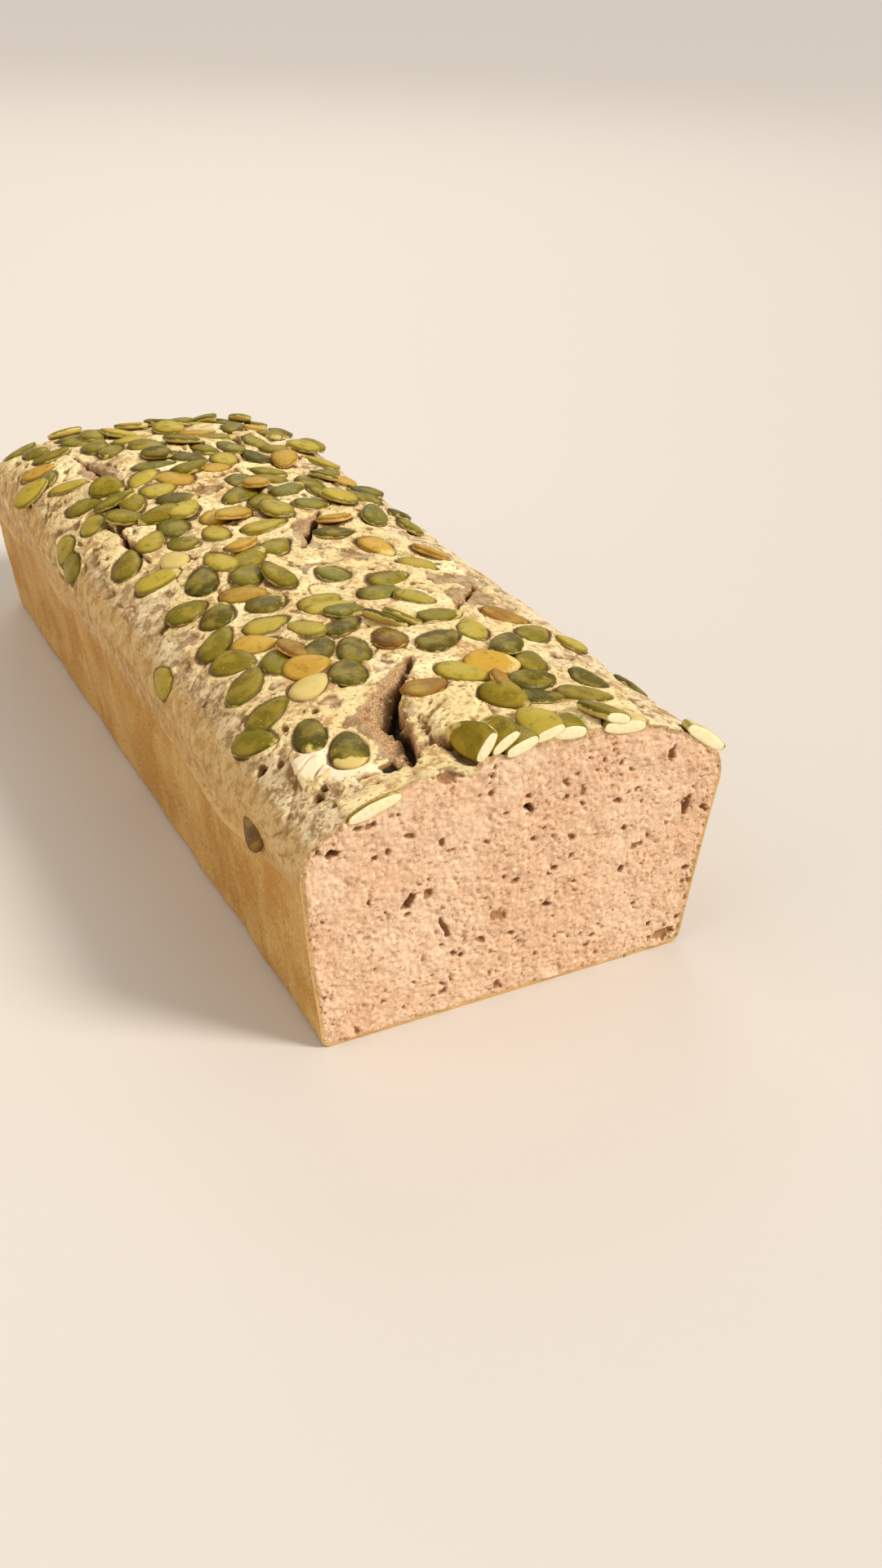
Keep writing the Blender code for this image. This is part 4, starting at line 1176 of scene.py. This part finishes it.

# moist, soft, pinkish crumb: matt, with painted shade that darkens the pores with depth, a thin rind of
# crust at the edge
buckwheatCrumb = dict(
    name="buckwheat_crumb", specular=0.3,
    noises=(("broad", 16, 2), ("blotchy", 5.5, 2), ("medium", 2.4, 2),
            ("fine", 0.95, 3), ("grit", 0.45, 3)),
    values=("edge", "pore", "wall", "batter"),
    sums=(("rim", "MULTIPLY_ADD", "medium", -2.4, "edge"),
          ("rindShare", "MULTIPLY_ADD", "rim", -2.0, 0.2),
          ("rindShare", "MAXIMUM", "rindShare", 0.0), ("rindShare", "MINIMUM", "rindShare", 1.0),
          ("open", "MULTIPLY_ADD", "blotchy", 4.0, -1.35), ("open", "MAXIMUM", "open", 0.15)),
    base="#e0b692",
    layers=(
        ("broad", 0.35, 0.68, "#eac7a5"),
        ("blotchy", 0.52, 0.72, "#d6a983", 0.45),
        ("blotchy", 0.44, 0.30, "#efcfac", 0.5),
        ("medium", 0.52, 0.75, "#d2a57c", 0.7),
        ("fine", 0.55, 0.72, "#f6e0c0", 0.85),
        ("fine", 0.44, 0.33, "#b98a62", "open", 0.9),
        # painted shade: pores darken with their depth, darkest brown in the deepest
        ("pore", 0.12, 0.60, "#a97d55"),
        ("pore", 1.6, 2.8, "#54311b"),
        ("rim", 0.1, -0.60, "#ac8559"),
        ("fine", 0.40, 0.60, "#cfae80", "rindShare"),
        ("rim", 0.3, -0.80, "#cda56c", "wall"),
        ("batter", 0.0, 1.0, "#e6cf9c"),
    ),
    gloss=("medium", 0.3, 0.7, 0.70, 0.85), bump=("grit", 0.2, 0.8),
)

# torn crumb that dried: the same stuff as the loaf but paler for being thin
dryCrumb = dict(
    name="dry_crumb_bits", specular=0.2,
    noises=(("medium", 2.5, 2), ("grit", 0.35, 3)),
    base="#b88d5c", layers=(("medium", 0.4, 0.6, "#dcc090"),),
    gloss=("grit", 0.3, 0.7, 0.78, 0.9), bump=("grit", 0.15, 0.7),
)


def seedSkin(name, edgeCode, blotchCode, glossy):
    # a hulled seed: thin papery skin over an oily kernel, satin, creamy where its edge wore
    return makeFinish(dict(
        name=name, specular=0.17,
        noises=(("broad", 5, 2), ("medium", 2.2, 2), ("fine", 0.7, 3)),
        values=("rim", "lengthwise", "sideways", "upper", "wear", "end"),
        sums=(("worn", "MULTIPLY_ADD", "medium", 1.3, -0.72), ("worn", "SUBTRACT", "worn", "upper"),
              ("tip", "MULTIPLY", "lengthwise", "end"), ("tip", "MULTIPLY_ADD", "medium", 1.1, "tip"),
              ("tip", "MULTIPLY_ADD", "wear", 0.5, "tip")),
        ridges=(1.2, 7.0, 3.0), base="skinColour",
        layers=(
            ("broad", 0.42, 0.62, "#bda43f", 0.32),
            ("medium", 0.54, 0.74, blotchCode, 0.45),
            ("fine", 0.56, 0.80, "#d9bb62", 0.40),
            # painted shade: darker in a ring towards the seed's edge, where it curves away
            ("rim", 0.72, 0.93, blotchCode, 0.60),
            ("worn", -0.16, 0.02, edgeCode),                    # creamy side wall
            ("tip", 1.52, 1.74, "#d8c176", 0.9),                # the skin has flaked off the tip
        ),
        gloss=("medium", 0.35, 0.65, glossy, glossy + 0.14), bump=("ridges", 0.16, 0.45),
    ))


# the cut kernel: dense, oily and cream white
cutKernel = dict(
    name="cut_seed_kernel", specular=0.4,
    noises=(("broad", 3, 2), ("fine", 0.8, 3)),
    base="#f4e9c0", layers=(("fine", 0.45, 0.72, "#eadaa4"), ("broad", 0.5, 0.75, "#efe0a8")),
    gloss=("broad", 0.3, 0.7, 0.42, 0.58), bump=("fine", 0.1, 0.5),
)


# Stage, light and camera

# place in metres, degrees, and the focal length and picture height in pixels of the photo
look = dict(
    place=(-0.1455, -0.3556, 0.2098), yaw=29.263, pitch=30.494, roll=2.728, focus=1836.635, height=1920,
    sensor=36, nearest=0.01, furthest=20,
)


def makeCamera():
    # stands to the left of the cut and looks down along the loaf
    yaw, pitch, roll = (math.radians(look[key]) for key in ("yaw", "pitch", "roll"))
    level = Vector((math.cos(yaw), -math.sin(yaw), 0))
    ahead = Vector((math.sin(yaw) * math.cos(pitch), math.cos(yaw) * math.cos(pitch), -math.sin(pitch)))
    over = level.cross(ahead)
    right = math.cos(roll) * level + math.sin(roll) * over
    above = -math.sin(roll) * level + math.cos(roll) * over
    data = bpy.data.cameras.new("camera")
    data.sensor_width = look["sensor"]
    data.lens = look["focus"] * look["sensor"] / look["height"]
    data.clip_start = look["nearest"]
    data.clip_end = look["furthest"]
    camera = newObject("camera", data)
    turned = Matrix((right, above, -ahead)).transposed().to_4x4()
    camera.matrix_world = Matrix.Translation(look["place"]) @ turned
    bpy.context.scene.camera = camera


light = dict(
    # name, kind, place in metres, strength, size (the sun's in radians), colour
    lamps=(
        ("key", "SUN", (0.80, -0.75, 1.00), 3.1, math.radians(18), "#fffaf2"),
        ("low_fill", "AREA", (-1.9, 0.1, 0.60), 7.0, 1.3, "#ffd793"),  # warm, like light off the worktop
        ("high_fill", "AREA", (-0.7, 0.0, 1.2), 4.6, 1.2, "#fff8ee"),
        ("back", "AREA", (0.5, 1.1, 1.0), 4.0, 0.8, "#fffaf2"),
    ),
    aim=(0, 0, 0.03), room="#fffaf4", roomStrength=0.42, floor="#d3ccc4",
    floorSize=24, floorRoughness=0.6,
)


def makeStage():
    bpy.ops.mesh.primitive_plane_add(size=light["floorSize"], location=(0, 0, 0))
    floor = bpy.context.object
    floor.name = "floor"
    material = bpy.data.materials.new("pale_worktop")  # plain painted board, matt so that nothing mirrors
    material.use_nodes = True
    shader = material.node_tree.nodes["Principled BSDF"]
    shader.inputs["Base Color"].default_value = linear(light["floor"])
    shader.inputs["Roughness"].default_value = light["floorRoughness"]
    floor.data.materials.append(material)
    for name, kind, place, strength, size, colour in light["lamps"]:
        data = bpy.data.lights.new(name, kind)
        data.energy = strength
        data.color = linear(colour)[:3]
        setattr(data, "angle" if kind == "SUN" else "size", size)
        lamp = newObject(name, data)
        lamp.location = place
        lamp.rotation_euler = (Vector(light["aim"]) - Vector(place)).to_track_quat("-Z", "Y").to_euler()
    world = bpy.data.worlds.new("soft_room")
    world.use_nodes = True
    background = world.node_tree.nodes["Background"]
    background.inputs["Color"].default_value = linear(light["room"])
    background.inputs["Strength"].default_value = light["roomStrength"]
    bpy.context.scene.world = world
    bpy.context.scene.view_settings.view_transform = "Standard"


# Putting it together

makeCamera()
makeStage()
crackWays = crackLines()
allSeeds = layDown(scatterSeeds(crackWays))
print("seeds placed:", len(allSeeds))

frontCrown, backCrown, topLine = makeCrown(crackWays, allSeeds)
topCrust = makeFinish(bakedBatterTop)
for piece in (frontCrown, backCrown):
    piece.data.materials.append(topCrust)
    print(piece.name + ":", len(piece.data.polygons), "faces")

sidePiece = makeSides()
sidePiece.data.materials.append(makeFinish(tinBakedCrust))
print("sides and base:", len(sidePiece.data.polygons), "faces")

crumbPiece = grown("cut_crumb", makeCutFace(topLine), crumbTree(), {
    "Depth": 1.0, "Warp": crumb["warp"] * mm, "Grain": crumb["grain"] * mm, "Lumps": crumb["lumps"] * mm,
    "Seed": crumb["seed"], "Material": makeFinish(buckwheatCrumb)})
print("crumb:", len(crumbPiece.data.polygons), "faces")

bitPiece = makeBits("crust_crumbs", crumbPiece, (frontCrown, backCrown), bitTree(), makeFinish(dryCrumb))
print("crumbs:", len(bitPiece.data.polygons), "faces")

seedShape = seedTree()
kernel = makeFinish(cutKernel)
greenSkin = seedSkin("green_seed_skin", "#cdb968", "#4d460c", 0.34)
toastedSkin = seedSkin("toasted_seed_skin", "#e0b45c", "#74440f", 0.34)
paleSkin = seedSkin("pale_seed_skin", "#ecd99c", "#c8a860", 0.38)
kinds = (
    ("green_seeds", greenSkin, ("dark", "green", "olive", "lime", "grey")),
    ("toasted_seeds", toastedSkin, ("gold", "toast", "brown")),
    ("pale_seeds", paleSkin, ("pale", "straw")),
)
cutSeeds = makeSeeds("cut_seeds", allSeeds[:cutCount], seedShape, greenSkin, "cut")
seedPieces = [cutThrough(cutSeeds, kernel)]
for name, skin, shades in kinds:
    for label, finish in (("front_", "near"), ("back_", "far")):
        chosen = [seed for seed in allSeeds[cutCount:]
                  if seed["shade"] in shades and (seed["y"] < seeds["nearBelow"]) == (finish == "near")]
        if chosen:
            seedPieces.append(makeSeeds(label + name, chosen, seedShape, skin, finish))
            print(label + name + ":", len(chosen))

dressed = [(piece, "crust") for piece in (frontCrown, backCrown, sidePiece)]
dressed += [(crumbPiece, "crumb"), (bitPiece, "crust")]
dressed += [(piece, "pumpkin_seeds") for piece in seedPieces]
for piece, slot in dressed:
    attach(piece, "root")
    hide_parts("loaf")
